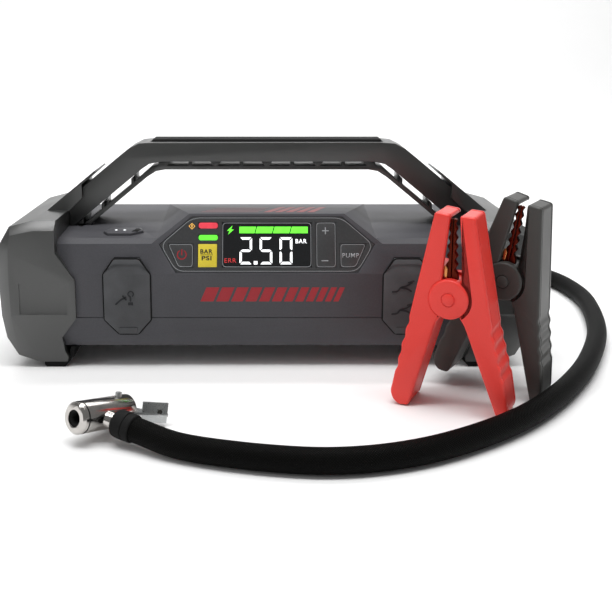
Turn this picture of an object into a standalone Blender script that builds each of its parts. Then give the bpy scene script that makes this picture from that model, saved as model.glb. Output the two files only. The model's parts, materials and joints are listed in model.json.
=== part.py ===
"""Jump starter pack with a built-in tyre inflator, as separate parts.

Metres, +Z up, the control panel faces -Y. Outlines are written in millimetres.
The pack stands on four feet; the battery clamps and the air hose lie in front of it.
"""

from math import atan2, cos, hypot, pi, radians, sin

import bmesh
import bpy
from mathutils import Matrix, Vector

MM = 0.001

# Driving dimensions, in millimetres. LAYOUT_SHIFT puts the middle of the whole layout at the origin
HALF_WIDTH = 155.5
CAP_DEPTH = 55.0
WALL = 3.0
GAP = 0.3
PARTING = 31.3
HOUSING_HALF = 148.0
PORT_X = 80.8
HOSE_RADIUS = 6.0
CLAMP_DEPTH = 23.0
CLAMP_BOTTOM = -60.5
LAYOUT_SHIFT = 53.2

# Closed section of the housing, (y, z)
SECTION = [(-47.5, 12.7), (-53, PARTING), (-53, 57.3), (-47.5, 73.9), (-44, 76.5),
           (46, 80.6), (48.5, 79), (53, 66), (53, PARTING), (47.5, 12.7)]

# The leaning panel plane starts at this crease and leans back by LEAN
CREASE_Y, CREASE_Z = -53.0, 57.3
LEAN = atan2(5.5, 16.6)


# ---------------------------------------------------------------- scene set-up

def clear_scene():
    for old in list(bpy.data.objects):
        bpy.data.objects.remove(old, do_unlink=True)
    for old in list(bpy.data.collections):
        bpy.data.collections.remove(old)


clear_scene()
PARTS = bpy.data.collections.new("jump_starter_pack")
CUTTERS = bpy.data.collections.new("cutters")
bpy.context.scene.collection.children.link(PARTS)
bpy.context.scene.collection.children.link(CUTTERS)


def make_empty(name, place, parent=None):
    empty = bpy.data.objects.new(name, None)
    PARTS.objects.link(empty)
    empty.parent = parent
    empty.matrix_local = place
    return empty


def moved(x, y, z):
    return Matrix.Translation(Vector((x, y, z)) * MM)


LAYOUT = make_empty("layout", moved(0, LAYOUT_SHIFT, 0))
PANEL = make_empty("panel_plane", moved(0, CREASE_Y, CREASE_Z) @ Matrix.Rotation(pi / 2 - LEAN, 4, "X"),
                   LAYOUT)


def linear(channel):
    return channel / 12.92 if channel <= 0.04045 else ((channel + 0.055) / 1.055) ** 2.4


def material(name, colour, roughness, metallic=0.0):
    """A Principled material from an sRGB hex colour."""
    found = bpy.data.materials.get(name)
    if found:
        return found
    made = bpy.data.materials.new(name)
    made.use_nodes = True
    shader = made.node_tree.nodes["Principled BSDF"]
    rgb = [linear(int(colour[i:i + 2], 16) / 255) for i in (0, 2, 4)]
    shader.inputs["Base Color"].default_value = (*rgb, 1)
    shader.inputs["Roughness"].default_value = roughness
    shader.inputs["Metallic"].default_value = metallic
    return made


FINISHES = {
    "housing": ("4B4A50", 0.55, 0), "cap": ("4F4F4F", 0.5, 0), "rubber": ("2B2B2B", 0.8, 0),
    "cover": ("505153", 0.7, 0), "panel": ("333435", 0.3, 0), "glass": ("101214", 0.1, 0),
    "key": ("38393A", 0.4, 0), "yellow": ("DCC832", 0.4, 0), "red_light": ("E8505A", 0.3, 0),
    "green_light": ("7CFC50", 0.3, 0), "red": ("D92A22", 0.4, 0), "black": ("333333", 0.45, 0),
    "copper": ("8A3A20", 0.35, 1), "steel": ("B8B8B8", 0.3, 1), "chrome": ("D8D8D8", 0.1, 1),
    "brass": ("C9A24A", 0.3, 1), "hose": ("15160F", 0.8, 0), "cell": ("3E6FA8", 0.4, 0),
    "board": ("1F6B3A", 0.5, 0), "aluminium": ("B0B2B4", 0.4, 1), "nylon": ("D9D5C8", 0.5, 0),
    "lens": ("E8ECEF", 0.15, 0),
}


# ---------------------------------------------------------------- shapes

FRONT = Matrix(((1, 0, 0, 0), (0, 0, -1, 0), (0, 1, 0, 0), (0, 0, 0, 1)))
SIDE = Matrix(((0, 0, 1, 0), (1, 0, 0, 0), (0, 1, 0, 0), (0, 0, 0, 1)))
FLAT = Matrix.Identity(4)
DEPTH_AXIS = {"front": Vector((0, 1, 0)), "side": Vector((1, 0, 0)), "flat": Vector((0, 0, 1))}
VIEWS = {"front": FRONT, "side": SIDE, "flat": FLAT}


def face_outwards(shape):
    bmesh.ops.recalc_face_normals(shape, faces=shape.faces)
    if shape.calc_volume(signed=True) < 0:
        bmesh.ops.reverse_faces(shape, faces=shape.faces)


def weld(mesh):
    shape = bmesh.new()
    shape.from_mesh(mesh)
    bmesh.ops.remove_doubles(shape, verts=shape.verts, dist=1e-6)
    face_outwards(shape)
    shape.to_mesh(mesh)
    shape.free()
    return mesh


def curve_mesh(curve):
    """The closed mesh of a filled or bevelled curve."""
    holder = bpy.data.objects.new("holder", curve)
    CUTTERS.objects.link(holder)
    view = bpy.context.evaluated_depsgraph_get()
    mesh = bpy.data.meshes.new_from_object(holder.evaluated_get(view))
    bpy.data.objects.remove(holder)
    bpy.data.curves.remove(curve)
    mesh.materials.clear()
    return weld(mesh)


def prism(outline, start, end, view="front"):
    """A flat outline, thickened from start to end. front: (x, z) along y; side: (y, z) along x;
    flat: (x, y) along z."""
    curve = bpy.data.curves.new("outline", "CURVE")
    curve.dimensions = "2D"
    curve.fill_mode = "BOTH"
    curve.extrude = abs(end - start) / 2 * MM
    spline = curve.splines.new("POLY")
    spline.points.add(len(outline) - 1)
    for point, (a, b) in zip(spline.points, outline):
        point.co = (a * MM, b * MM, 0, 1)
    spline.use_cyclic_u = True
    mesh = curve_mesh(curve)
    middle = DEPTH_AXIS[view] * ((start + end) / 2 * MM)
    mesh.transform(Matrix.Translation(middle) @ VIEWS[view])
    return mesh


def from_bmesh(shape):
    mesh = bpy.data.meshes.new("shape")
    face_outwards(shape)
    shape.to_mesh(mesh)
    shape.free()
    return mesh


def box(low, high):
    shape = bmesh.new()
    bmesh.ops.create_cube(shape, size=1)
    size = [(b - a) * MM for a, b in zip(low, high)]
    middle = Vector([(a + b) / 2 * MM for a, b in zip(low, high)])
    bmesh.ops.scale(shape, vec=size, verts=shape.verts)
    bmesh.ops.translate(shape, vec=middle, verts=shape.verts)
    return from_bmesh(shape)


def rod(start, end, radius, end_radius=None, sides=24):
    """A cylinder or cone between two points."""
    start, end = Vector(start), Vector(end)
    shape = bmesh.new()
    bmesh.ops.create_cone(shape, cap_ends=True, segments=sides, radius1=radius * MM,
                          radius2=(radius if end_radius is None else end_radius) * MM,
                          depth=(end - start).length * MM)
    turn = (end - start).to_track_quat("Z", "Y").to_matrix().to_4x4()
    shape.transform(Matrix.Translation((start + end) / 2 * MM) @ turn)
    return from_bmesh(shape)


def hull(points):
    shape = bmesh.new()
    for x, y, z in points:
        shape.verts.new((x * MM, y * MM, z * MM))
    bmesh.ops.convex_hull(shape, input=shape.verts)
    loose = [v for v in shape.verts if not v.link_faces]
    bmesh.ops.delete(shape, geom=loose, context="VERTS")
    return from_bmesh(shape)


def turned(start, end, profile, sides=24):
    """A turned shape between two points. profile holds (radius, distance from start) corners;
    it either closes on itself or starts and ends on the axis."""
    start, end = Vector(start), Vector(end)
    shape = bmesh.new()
    verts = [shape.verts.new((r * MM, 0, z * MM)) for r, z in profile]
    edges = [shape.edges.new(pair) for pair in zip(verts, verts[1:])]
    if profile[0][0] > 0:
        edges.append(shape.edges.new((verts[-1], verts[0])))
    bmesh.ops.spin(shape, geom=verts + edges, axis=(0, 0, 1), cent=(0, 0, 0), steps=sides,
                   angle=2 * pi, use_merge=True)
    bmesh.ops.remove_doubles(shape, verts=shape.verts, dist=1e-6)
    turn = (end - start).to_track_quat("Z", "Y").to_matrix().to_4x4()
    shape.transform(Matrix.Translation(start * MM) @ turn)
    return from_bmesh(shape)


def ring(start, end, outer, inner, sides=24):
    """A plain tube."""
    length = (Vector(end) - Vector(start)).length
    return turned(start, end, [(inner, 0), (outer, 0), (outer, length), (inner, length)], sides)


def tube(points, radius, resolution=3):
    curve = bpy.data.curves.new("tube", "CURVE")
    curve.dimensions = "3D"
    curve.bevel_depth = radius * MM
    curve.bevel_resolution = resolution
    curve.use_fill_caps = True
    spline = curve.splines.new("POLY")
    spline.points.add(len(points) - 1)
    for point, place in zip(spline.points, points):
        point.co = (*(Vector(place) * MM), 1)
    return curve_mesh(curve)


def inset(outline, distance):
    """The outline moved inwards by distance (outwards if negative), with mitred corners."""
    area = sum(a[0] * b[1] - b[0] * a[1] for a, b in zip(outline, outline[1:] + outline[:1]))
    side = 1 if area > 0 else -1
    made = []
    for i, here in enumerate(outline):
        before, after = outline[i - 1], outline[(i + 1) % len(outline)]
        ins = (here[0] - before[0], here[1] - before[1])
        out = (after[0] - here[0], after[1] - here[1])
        n1 = (-ins[1] * side / hypot(*ins), ins[0] * side / hypot(*ins))
        n2 = (-out[1] * side / hypot(*out), out[0] * side / hypot(*out))
        share = distance / (1 + n1[0] * n2[0] + n1[1] * n2[1])
        made.append((here[0] + (n1[0] + n2[0]) * share, here[1] + (n1[1] + n2[1]) * share))
    return made


def mirrored(outline):
    return [(-x, z) for x, z in reversed(outline)]


def flipped(mesh):
    """A copy mirrored across X = 0."""
    copy = mesh.copy()
    copy.transform(Matrix.Scale(-1, 4, (1, 0, 0)))
    copy.flip_normals()
    return copy


# ---------------------------------------------------------------- objects

def piece(name, mesh, finish, parent=LAYOUT, origin=None, place=None):
    """A named part. origin moves the object's own origin to a joint's axis."""
    mesh.name = name
    thing = bpy.data.objects.new(name, mesh)
    PARTS.objects.link(thing)
    thing.parent = parent
    if origin is not None:
        mesh.transform(Matrix.Translation(-Vector(origin) * MM))
        thing.location = Vector(origin) * MM
    if place is not None:
        thing.matrix_local = place
    mesh.materials.append(material(finish, *FINISHES[finish]))
    mesh.shade_smooth()
    mesh.set_sharp_from_angle(angle=radians(30))
    return thing


def cutter(mesh, parent=LAYOUT, place=None):
    thing = bpy.data.objects.new("cutter", mesh)
    CUTTERS.objects.link(thing)
    thing.parent = parent
    if place is not None:
        thing.matrix_local = place
    thing.hide_render = True
    thing.display_type = "WIRE"
    return thing


def combine(thing, other, operation):
    step = thing.modifiers.new(operation.lower(), "BOOLEAN")
    step.operation = operation
    step.solver = "EXACT"
    step.object = other


def cut(thing, *tools):
    for tool in tools:
        combine(thing, tool, "DIFFERENCE")


def join(thing, *tools):
    for tool in tools:
        combine(thing, tool, "UNION")


def keep(thing, *tools):
    for tool in tools:
        combine(thing, tool, "INTERSECT")


# ---------------------------------------------------------------- housing

def panel_to_layout(v, n):
    """(y, z) of a point on the panel plane, v up the slope and n out of it."""
    return (CREASE_Y + v * sin(LEAN) - n * cos(LEAN), CREASE_Z + v * cos(LEAN) + n * sin(LEAN))


def hump(shrink):
    """The raised display hump: a leaning front and a top that slopes to the rear edge."""
    top_y, top_z = panel_to_layout(35.1 - shrink, -shrink)
    low_y, low_z = panel_to_layout(17.8, -shrink)
    points = []
    for side in (-1, 1):
        points += [(side * (45 - shrink), top_y, top_z), (side * (66.5 - shrink), low_y, low_z),
                   (side * (66 - shrink), 47 - 2 * shrink, 80.5 - shrink),
                   (side * (60 - shrink), -40, 50), (side * (60 - shrink), 40, 50)]
    return hull(points)


PANEL_OUTLINE = [(-52.5, 1.2), (-62, 17.1), (-43.5, 33.1), (43.5, 33.1), (62, 17.1), (52.5, 1.2)]
POWER_KEY = [(-57.1, 17.4), (-42.7, 17.4), (-42.7, 4), (-51, 4)]
UNIT_KEY = [(-39.7, 17.4), (-28.8, 17.4), (-28.8, 4), (-39.7, 4)]
ROCKER = [(28.6, 29.9), (39.8, 29.9), (39.8, 3.9), (28.6, 3.9)]
PUMP_KEY = [(42.5, 17.4), (57.3, 17.4), (51.3, 4), (42.5, 4)]
WINDOW = [(-25.8, 29.9), (25.8, 29.9), (25.8, 3.9), (-25.8, 3.9)]
ALARM_LIGHT = [(-39.5, 29.9), (-28.4, 29.9), (-28.4, 26.5), (-39.5, 26.5)]
READY_LIGHT = [(-39.5, 22.7), (-28.4, 22.7), (-28.4, 19.6), (-39.5, 19.6)]
PANEL_TOP, PANEL_LOW, RECESS = -0.1, -1.3, -1.6
STEM_RADIUS, STEM_HOLE = 1.2, 1.7
ROCKER_X, ROCKER_STEMS = 34.2, (9, 25)
KEY_STEM = (10.7,)
BOSSES = [(x, y) for x in (-104, 104) for y in (-38, 38)]


def middle_of(outline):
    xs, ys = [p[0] for p in outline], [p[1] for p in outline]
    return (min(xs) + max(xs)) / 2, (min(ys) + max(ys)) / 2


COVER_OUTLINE = [(-5.6, 20.6), (-13.4, 30), (-13.4, 57), (-7.1, 66), (7.1, 66), (13.4, 57),
                 (13.4, 30), (5.6, 20.6)]
LAMP_BUTTON = [(-97, -32), (-93.5, -38), (-80, -38), (-73.5, -31), (-76, -22), (-94, -22)]
FACETS = [(-48.99, 17.7), (-53, PARTING), (-53, CREASE_Z), (-49.1, 69.1)]


def facet_band(outer, inner):
    """A strip that follows the front facets, from outer proud to inner deep, (y, z)."""
    front = [(y - outer, z) for y, z in FACETS]
    back = [(y + inner, z) for y, z in reversed(FACETS)]
    return front + back


def port_recess(x):
    """The pocket that a port cover sits in."""
    outline = [(x + a, b) for a, b in inset(COVER_OUTLINE, -0.5)]
    pocket = cutter(prism(outline, -60, -40))
    keep(pocket, cutter(prism(facet_band(5, 1.8), x - 20, x + 20, "side")))
    return pocket


RECESSES = [port_recess(-PORT_X), port_recess(PORT_X)]
OUTER_SECTION = prism(SECTION, -HOUSING_HALF, HOUSING_HALF, "side")
INNER_SECTION = prism(inset(SECTION, WALL), -HOUSING_HALF - 5, HOUSING_HALF + 5, "side")
CLEARANCE = cutter(prism(inset(SECTION, -GAP), -HOUSING_HALF - GAP, HOUSING_HALF + GAP, "side"))
AIR_HOLE = cutter(rod((-PORT_X, -60, 44), (-PORT_X, -30, 44), 6.5 + GAP))
JUMP_HOLE = cutter(box((PORT_X - 12.3, -60, 38.2), (PORT_X + 12.3, -30, 51.8)))


def top_height(y):
    """z of the housing's sloping top."""
    return 76.5 + (y + 44) * 4.1 / 90


def vents():
    """Cooling slots through the rear wall, in front of the pump."""
    return [cutter(box((x, 45, 40), (x + 2.6, 60, 60))) for x in range(-96, -40, 7)]


def housings():
    upper = piece("upper_housing", OUTER_SECTION.copy(), "housing")
    join(upper, cutter(hump(0)))
    cavity = cutter(INNER_SECTION.copy())
    join(cavity, cutter(hump(WALL)))
    cut(upper, cavity)
    for x, y in BOSSES:
        join(upper, cutter(rod((x, y, 16), (x, y, top_height(y) - 1), 4, sides=12)))
        cut(upper, cutter(rod((x, y, 10), (x, y, 34), 1.7, sides=12)))
    cut(upper, cutter(box((-170, -70, -10), (170, 70, PARTING + GAP / 2))), *RECESSES)
    cut(upper, AIR_HOLE, JUMP_HOLE, *vents())
    cut(upper, cutter(prism(inset(PANEL_OUTLINE, -GAP), RECESS, 5, "flat"), PANEL))
    cut(upper, cutter(prism(inset(WINDOW, 2), -6, 1, "flat"), PANEL))
    for outline in (POWER_KEY, UNIT_KEY, PUMP_KEY, ALARM_LIGHT, READY_LIGHT):
        a, b = middle_of(outline)
        cut(upper, cutter(rod((a, b, -6), (a, b, 1), STEM_HOLE, sides=12), PANEL))
    for b in ROCKER_STEMS:
        cut(upper, cutter(rod((ROCKER_X, b, -6), (ROCKER_X, b, 1), STEM_HOLE, sides=12), PANEL))
    cut(upper, cutter(prism(inset(LAMP_BUTTON, -0.4), 70, 82, "flat")))

    lower = piece("lower_housing", OUTER_SECTION.copy(), "housing")
    cut(lower, cutter(INNER_SECTION.copy()))
    cut(lower, cutter(box((-170, -70, PARTING - GAP / 2), (170, 70, 120))), *RECESSES)
    for x, y in BOSSES:
        cut(lower, cutter(rod((x, y, 5), (x, y, 20), 1.7, sides=12)))
        cut(lower, cutter(rod((x, y, 5), (x, y, 14.2), 3.8, sides=16)))
    for i, (x, y) in enumerate(BOSSES):
        screw = piece(f"housing_screw_{i + 1}", rod((x, y, 12.9), (x, y, 13.9), 3.4, sides=16), "steel")
        join(screw, cutter(rod((x, y, 13.4), (x, y, 30), 1.35, sides=12)))
        cut(screw, cutter(box((x - 2.2, y - 0.4, 12), (x + 2.2, y + 0.4, 13.4))))


def lamp_button():
    piece("lamp_button", prism(LAMP_BUTTON, 75.3, 78.4, "flat"), "key", origin=(-85, -30, 77))


# ---------------------------------------------------------------- end caps and feet

CAP_SECTION = [(100, 88), (135, 88), (148, 84.5), (153.6, 75), (155, 71), (HALF_WIDTH, 51),
               (154.7, 31.6), (152.3, 18.3), (146, 7.6), (133.5, 3.3), (100, 3.3)]
CAP_FACE = [(100, 83), (133.3, 83), (146.5, 80.3), (148, 70), (148.4, 51), (148, 33), (100, 31)]
CAP_FOOT_LINE = [(142.4, 9), (131.5, 3.3), (100, 3.3)]
CAP_INNER = [(90, 96), (121.2, 96), (121.2, 69.8), (110.4, 53.9), (110.4, PARTING), (119.4, 19.1),
             (118.3, 9.8), (116.6, 6.2), (118, 2), (90, 2)]
SHROUD = [(136.5, 85), (137.0, 85.2), (103.9, 112.4), (103.2, 111.6), (112.1, 104), (112.1, 95.7),
          (121.6, 86.5), (121.6, 80)]


def cap_block():
    """The bumper's outer form: a section along Y whose front and rear are chamfered inwards."""
    points = []
    for side in (-1, 1):
        points += [(x, side * 50, z) for x, z in CAP_SECTION]
        points += [(x, side * CAP_DEPTH, z) for x, z in CAP_FACE]
        points += [(x, side * 49.5, z) for x, z in CAP_FOOT_LINE]
    return hull(points)


def end_cap(side, name):
    turn = (lambda mesh: mesh) if side > 0 else flipped
    cap = piece(name, turn(cap_block()), "cap")
    cut(cap, CAP_CUT[side])
    join(cap, cutter(turn(prism(SHROUD, -17.6, 17.6))))
    cut(cap, CLEARANCE, LEG_CLEARANCE)
    cut(cap, cutter(turn(box((115.7, -60, 33.7), (142.8, -54.4, 51.9)))))
    if side < 0:
        cut(cap, cutter(box((-160, -16, 42), (-151.5, 16, 60))))
        piece("work_lamp_lens", box((-155, -15.7, 42.3), (-151.8, 15.7, 59.7)), "lens")


FOOT = [(131.2, 3), (131.2, 0.8), (130.2, 0), (119.2, 0), (113.6, 6.5), (113.6, 10.3), (112, 12.4),
        (115.4, 12.4), (116.1, 9.8), (116.1, 6.2), (117.6, 3)]


def feet():
    for side, label in ((-1, "left"), (1, "right")):
        outline = FOOT if side > 0 else mirrored(FOOT)
        piece(f"{label}_front_foot", prism(outline, -49, -27), "rubber")
        piece(f"{label}_rear_foot", prism(outline, 27, 49), "rubber")


# ---------------------------------------------------------------- carry handle

SLOPE = radians(39.5)
LEG_SIDE = 120.9


def leg_line(distance, x):
    """z on a line parallel to the leg, at a distance from the origin's corner."""
    return (distance - x * sin(SLOPE)) / cos(SLOPE)


def both_sides(half):
    return half + mirrored(half)


FRAME_HALF = [(64.5, 117.4), (71.5, 115.9), (76, leg_line(135.4, 76)), (119, leg_line(135.4, 119)),
              (LEG_SIDE, 70), (LEG_SIDE, leg_line(150, LEG_SIDE)), (90, leg_line(150, 90)),
              (83.5, 125.4), (77.5, 128.4), (71, 129)]
SHELL_HALF = [(62, 112.3), (67.5, 111.3), (73, leg_line(129.6, 73)), (107.8, leg_line(129.6, 107.8)),
              (108.4, 70), (118.6, 70), (118.6, leg_line(135.1, 118.6)), (75.8, leg_line(135.1, 75.8)),
              (71.2, 115.6), (64.4, 117.1)]
GRIP_SLOTS = 8
LEG_SLOTS = [(66, 81), (82.8, 99.5), (101.3, 112.5)]


def grip_slots():
    """Openings of the lattice under the grip, leaning alternately to each side."""
    pitch = 124 / GRIP_SLOTS
    for i in range(GRIP_SLOTS):
        left = -62 + i * pitch + 1.2
        right = left + pitch - 2.4
        lean = 3 if i % 2 else -3
        outline = [(left, 114.8), (right, 114.8), (right - max(lean, 0), 118), (left + max(-lean, 0), 118)]
        yield cutter(prism(outline, -20, 20))


def leg_slots():
    for start, end in LEG_SLOTS:
        low = [(x, leg_line(132.2, x)) for x in (end, start)]
        if start < 70:
            low = [(end, leg_line(132.2, end)), (71, 113.4), (start, 114.8)]
        outline = low + [(start, 119), (end, leg_line(137, end))]
        yield cutter(prism(outline, -20, 20))
        yield cutter(prism(mirrored(outline), -20, 20))


LEG_CLEARANCE = cutter(prism(inset(both_sides(FRAME_HALF), -GAP), -14 - GAP, 14 + GAP))
CAP_CUT = {1: cutter(prism(CAP_INNER, -70, 70)), -1: cutter(prism(mirrored(CAP_INNER), -70, 70))}


def mark_edges(mesh, width_test):
    """Give the edges that pass the test a full bevel weight."""
    weights = mesh.attributes.new("bevel_weight_edge", "FLOAT", "EDGE")
    for edge in mesh.edges:
        ends = [mesh.vertices[i].co / MM for i in edge.vertices]
        weights.data[edge.index].value = 1.0 if width_test(*ends) else 0.0


def on_outer_line(a, b):
    along = abs(a.y - b.y) < 0.1 and abs(a.y) > 13
    return along and all(p.z > leg_line(149, abs(p.x)) or p.z > 128 for p in (a, b))


def handle():
    frame = piece("handle_frame", prism(both_sides(FRAME_HALF), -14, 14), "cap")
    mark_edges(frame.data, on_outer_line)
    chamfer = frame.modifiers.new("chamfer", "BEVEL")
    chamfer.limit_method = "WEIGHT"
    chamfer.width = 2.6 * MM
    chamfer.segments = 1
    cut(frame, CLEARANCE, cutter(box((-71, -9.4, 128), (71, 9.4, 131))))
    shell = piece("handle_lattice_shell", prism(both_sides(SHELL_HALF), -12.5, 12.5), "cap")
    cut(shell, CLEARANCE, *grip_slots(), *leg_slots())
    piece("handle_grip_strip", hull([(sx * (70.6 - z), sy * (9 - z), 128.3 + 2.2 * z)
                                     for sx in (-1, 1) for sy in (-1, 1) for z in (0, 1)]), "rubber")


# ---------------------------------------------------------------- control panel

def panel_prism(outline, low, high):
    return prism(outline, low, high, "flat")


def key(name, outline, finish, stems):
    """A press key in the panel, with stems that reach the switches on the board."""
    a, b = middle_of(outline)
    thing = piece(name, panel_prism(outline, -0.9, 0.1), finish, PANEL, origin=(a, b, 0))
    for v in stems:
        join(thing, cutter(rod((a, v, -8.2), (a, v, -0.5), STEM_RADIUS, sides=12), PANEL))


def control_panel():
    panel = piece("control_panel", panel_prism(PANEL_OUTLINE, PANEL_LOW, PANEL_TOP), "panel", PANEL)
    for outline in (POWER_KEY, UNIT_KEY, ROCKER, PUMP_KEY, WINDOW, ALARM_LIGHT, READY_LIGHT):
        cut(panel, cutter(panel_prism(inset(outline, -GAP), -3, 1), PANEL))
    piece("display_window", panel_prism(WINDOW, -1.2, -0.1), "glass", PANEL)
    for name, outline, finish in (("alarm_light", ALARM_LIGHT, "red_light"),
                                  ("ready_light", READY_LIGHT, "green_light")):
        a, b = middle_of(outline)
        light = piece(name, panel_prism(outline, -1.2, 0), finish, PANEL)
        join(light, cutter(rod((a, b, -8.4), (a, b, -0.6), STEM_RADIUS, sides=12), PANEL))
    key("power_key", POWER_KEY, "key", KEY_STEM)
    key("unit_key", UNIT_KEY, "yellow", KEY_STEM)
    key("pump_key", PUMP_KEY, "key", KEY_STEM)
    key("plus_minus_rocker", ROCKER, "key", ROCKER_STEMS)
    piece("display_module", panel_prism([(-27, 3), (27, 3), (27, 30.8), (-27, 30.8)], -7.6, -3.4),
          "black", PANEL)
    piece("main_board", panel_prism([(-50, 3), (-56, 13), (-40, 29), (40, 29), (56, 13), (50, 3)],
                                    -10.6, -9), "board", PANEL)


# ---------------------------------------------------------------- ports

def port_cover(name, x):
    """A rubber cover over the facets, hinged at its outer lower edge."""
    outline = [(x + a, b) for a, b in COVER_OUTLINE]
    cover = piece(name, prism(outline, -60, -40), "cover", origin=(x, -50.55, 20.6))
    keep(cover, cutter(prism(facet_band(0.7, 1.5), x - 20, x + 20, "side")))


def ports():
    port_cover("left_port_cover", -PORT_X)
    port_cover("right_port_cover", PORT_X)
    outlet = piece("air_outlet", rod((-PORT_X, -50.9, 44), (-PORT_X, -36, 44), 6.5), "brass")
    join(outlet, cutter(rod((-PORT_X, -48, 44), (-PORT_X, -43, 44), 8.6, sides=6)))
    cut(outlet, cutter(rod((-PORT_X, -55, 44), (-PORT_X, -40, 44), 3.6, sides=16)))
    socket = piece("jump_socket", box((PORT_X - 12, -50.9, 38.5), (PORT_X + 12, -32, 51.5)), "key")
    for x in (PORT_X - 5.9, PORT_X + 5.9):
        cut(socket, cutter(rod((x, -55, 45), (x, -36, 45), 4, sides=16)))


# ---------------------------------------------------------------- battery and pump

PUMP_Z = 36.0
CRANK_Y = -22.5
MOTOR_Y = 2.1
CYLINDER_X = -80.0


def gear_outline(teeth, module, centre):
    """Straight-sided teeth round a pitch circle, thinner than half the pitch for running clearance."""
    cy, cz = centre
    radius = teeth * module / 2
    made = []
    for i in range(teeth):
        for share, height in ((-0.34, -1.15), (-0.2, 0.8), (0.2, 0.8), (0.34, -1.15)):
            angle = (i + share) * 2 * pi / teeth
            made.append((cy + (radius + height * module) * cos(angle),
                         cz + (radius + height * module) * sin(angle)))
    return made


def battery():
    for i in range(3):
        low = 16.3 + i * 10
        piece(f"battery_cell_{i + 1}", box((-12, -28, low), (92, 32, low + 9.6)), "cell")


def pump():
    piece("pump_motor", rod((-58, MOTOR_Y, PUMP_Z), (-20, MOTOR_Y, PUMP_Z), 13.8, sides=32), "steel")
    pinion_teeth, gear_teeth, module = 12, 36, 1.0
    pinion = piece("motor_pinion", prism(gear_outline(pinion_teeth, module, (MOTOR_Y, PUMP_Z)),
                                         -65.8, -61.2, "side"), "brass", origin=(-60, MOTOR_Y, PUMP_Z))
    join(pinion, cutter(rod((-62, MOTOR_Y, PUMP_Z), (-58.3, MOTOR_Y, PUMP_Z), 1.5, sides=12)))
    teeth_round = gear_outline(gear_teeth, module, (0, 0))
    half_pitch = pi / gear_teeth
    outline = [(CRANK_Y + y * cos(half_pitch) - z * sin(half_pitch),
                PUMP_Z + y * sin(half_pitch) + z * cos(half_pitch)) for y, z in teeth_round]
    gear = piece("drive_gear", prism(outline, -65.8, -61.2, "side"), "nylon",
                 origin=(-63, CRANK_Y, PUMP_Z))
    join(gear, cutter(rod((-64, CRANK_Y + 7, PUMP_Z), (-77.2, CRANK_Y + 7, PUMP_Z), 2, sides=12)))
    axis = [(CYLINDER_X, y, PUMP_Z) for y in (12, 38, 38.3, 44)]
    piece("pump_cylinder", ring(axis[0], axis[1], 13, 10.3, 32), "aluminium")
    head = piece("cylinder_head", rod(axis[2], axis[3], 13, sides=32), "aluminium")
    cut(head, *[cutter(box((-95, y, 20), (-65, y + 1.2, 28))) for y in (39.5, 42)])
    piston = piece("pump_piston", rod((CYLINDER_X, 26, PUMP_Z), (CYLINDER_X, 35.5, PUMP_Z), 10), "aluminium",
                   origin=(CYLINDER_X, 26, PUMP_Z))
    join(piston, cutter(box((CYLINDER_X - 2.5, CRANK_Y + 7, PUMP_Z - 2.5),
                            (CYLINDER_X + 2.5, 28, PUMP_Z + 2.5))))
    join(piston, cutter(rod((CYLINDER_X - 2.49, CRANK_Y + 7, PUMP_Z),
                            (CYLINDER_X + 2.49, CRANK_Y + 7, PUMP_Z), 4.5, sides=20)))
    cut(piston, cutter(rod((CYLINDER_X - 5, CRANK_Y + 7, PUMP_Z),
                           (CYLINDER_X + 5, CRANK_Y + 7, PUMP_Z), 2.3, sides=16)))
    line = [(-89.1, 41, 46.3), (-93, 40, 51), (-97, 32, 56), (-98, 10, 58), (-96, -8, 57),
            (-91, -22, 51), (-83, -29, 45.5), (-81, -34.4, 44.3)]
    piece("air_line", tube(smooth_route(line, 24), 1.8, 2), "nylon")


def smooth_route(points, count):
    """Even points along a Catmull-Rom curve through the given ones."""
    points = [Vector(p) for p in points]
    ends = [2 * points[0] - points[1]] + points + [2 * points[-1] - points[-2]]
    fine = []
    for p0, p1, p2, p3 in zip(ends, ends[1:], ends[2:], ends[3:]):
        for i in range(20):
            t = i / 20
            fine.append(0.5 * (2 * p1 + (p2 - p0) * t + (2 * p0 - 5 * p1 + 4 * p2 - p3) * t * t
                               + (3 * p1 - p0 - 3 * p2 + p3) * t ** 3))
    fine.append(points[-1])
    reach = [0.0]
    for a, b in zip(fine, fine[1:]):
        reach.append(reach[-1] + (b - a).length)
    made, j = [], 0
    for i in range(count):
        target = reach[-1] * i / (count - 1)
        while j < len(reach) - 2 and reach[j + 1] < target:
            j += 1
        share = (target - reach[j]) / (reach[j + 1] - reach[j])
        made.append(fine[j].lerp(fine[j + 1], share))
    return made


# ---------------------------------------------------------------- battery clamps

LEFT_ARM = [(-8.7, 44.5), (-20.2, -10.6), (-24.6, -29.4), (-29.5, -54), (-28, -58), (-25, CLAMP_BOTTOM),
            (-19.5, CLAMP_BOTTOM + 0.3), (-6.5, -13), (-4.2, -9.4), (-1, -6), (-1, 10.3), (-3.7, 14.7),
            (-0.8, 43.4)]
RIGHT_ARM = [(4.0, 43.4), (11.7, 42.9), (22.2, -12.8), (29.5, -40.5), (32.2, -56), (31.2, -59),
             (29, CLAMP_BOTTOM), (27.2, CLAMP_BOTTOM), (8.4, -13), (6.4, -9.4), (3.5, -6), (3.5, 10.3),
             (6.6, 14.7)]
RIPPLES = 4
# Each jaw shell is open to the mouth and the back behind its face plate
LEFT_HOLLOW = [(-4.9, 41), (-10.6, 16), (1, 16), (1, 41)]
RIGHT_HOLLOW = [(8, 41), (2, 41), (2, 16), (12.6, 16)]
FACE_PLATE = 3.2


def in_steps(edge_start, edge_end, count, depth):
    """Finger ripples: shallow scallops along a straight edge."""
    (x0, z0), (x1, z1) = edge_start, edge_end
    made = []
    for i in range(2 * count + 1):
        share = i / (2 * count)
        pull = depth if i % 2 else 0
        made.append((x0 + (x1 - x0) * share + pull, z0 + (z1 - z0) * share))
    return made


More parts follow.
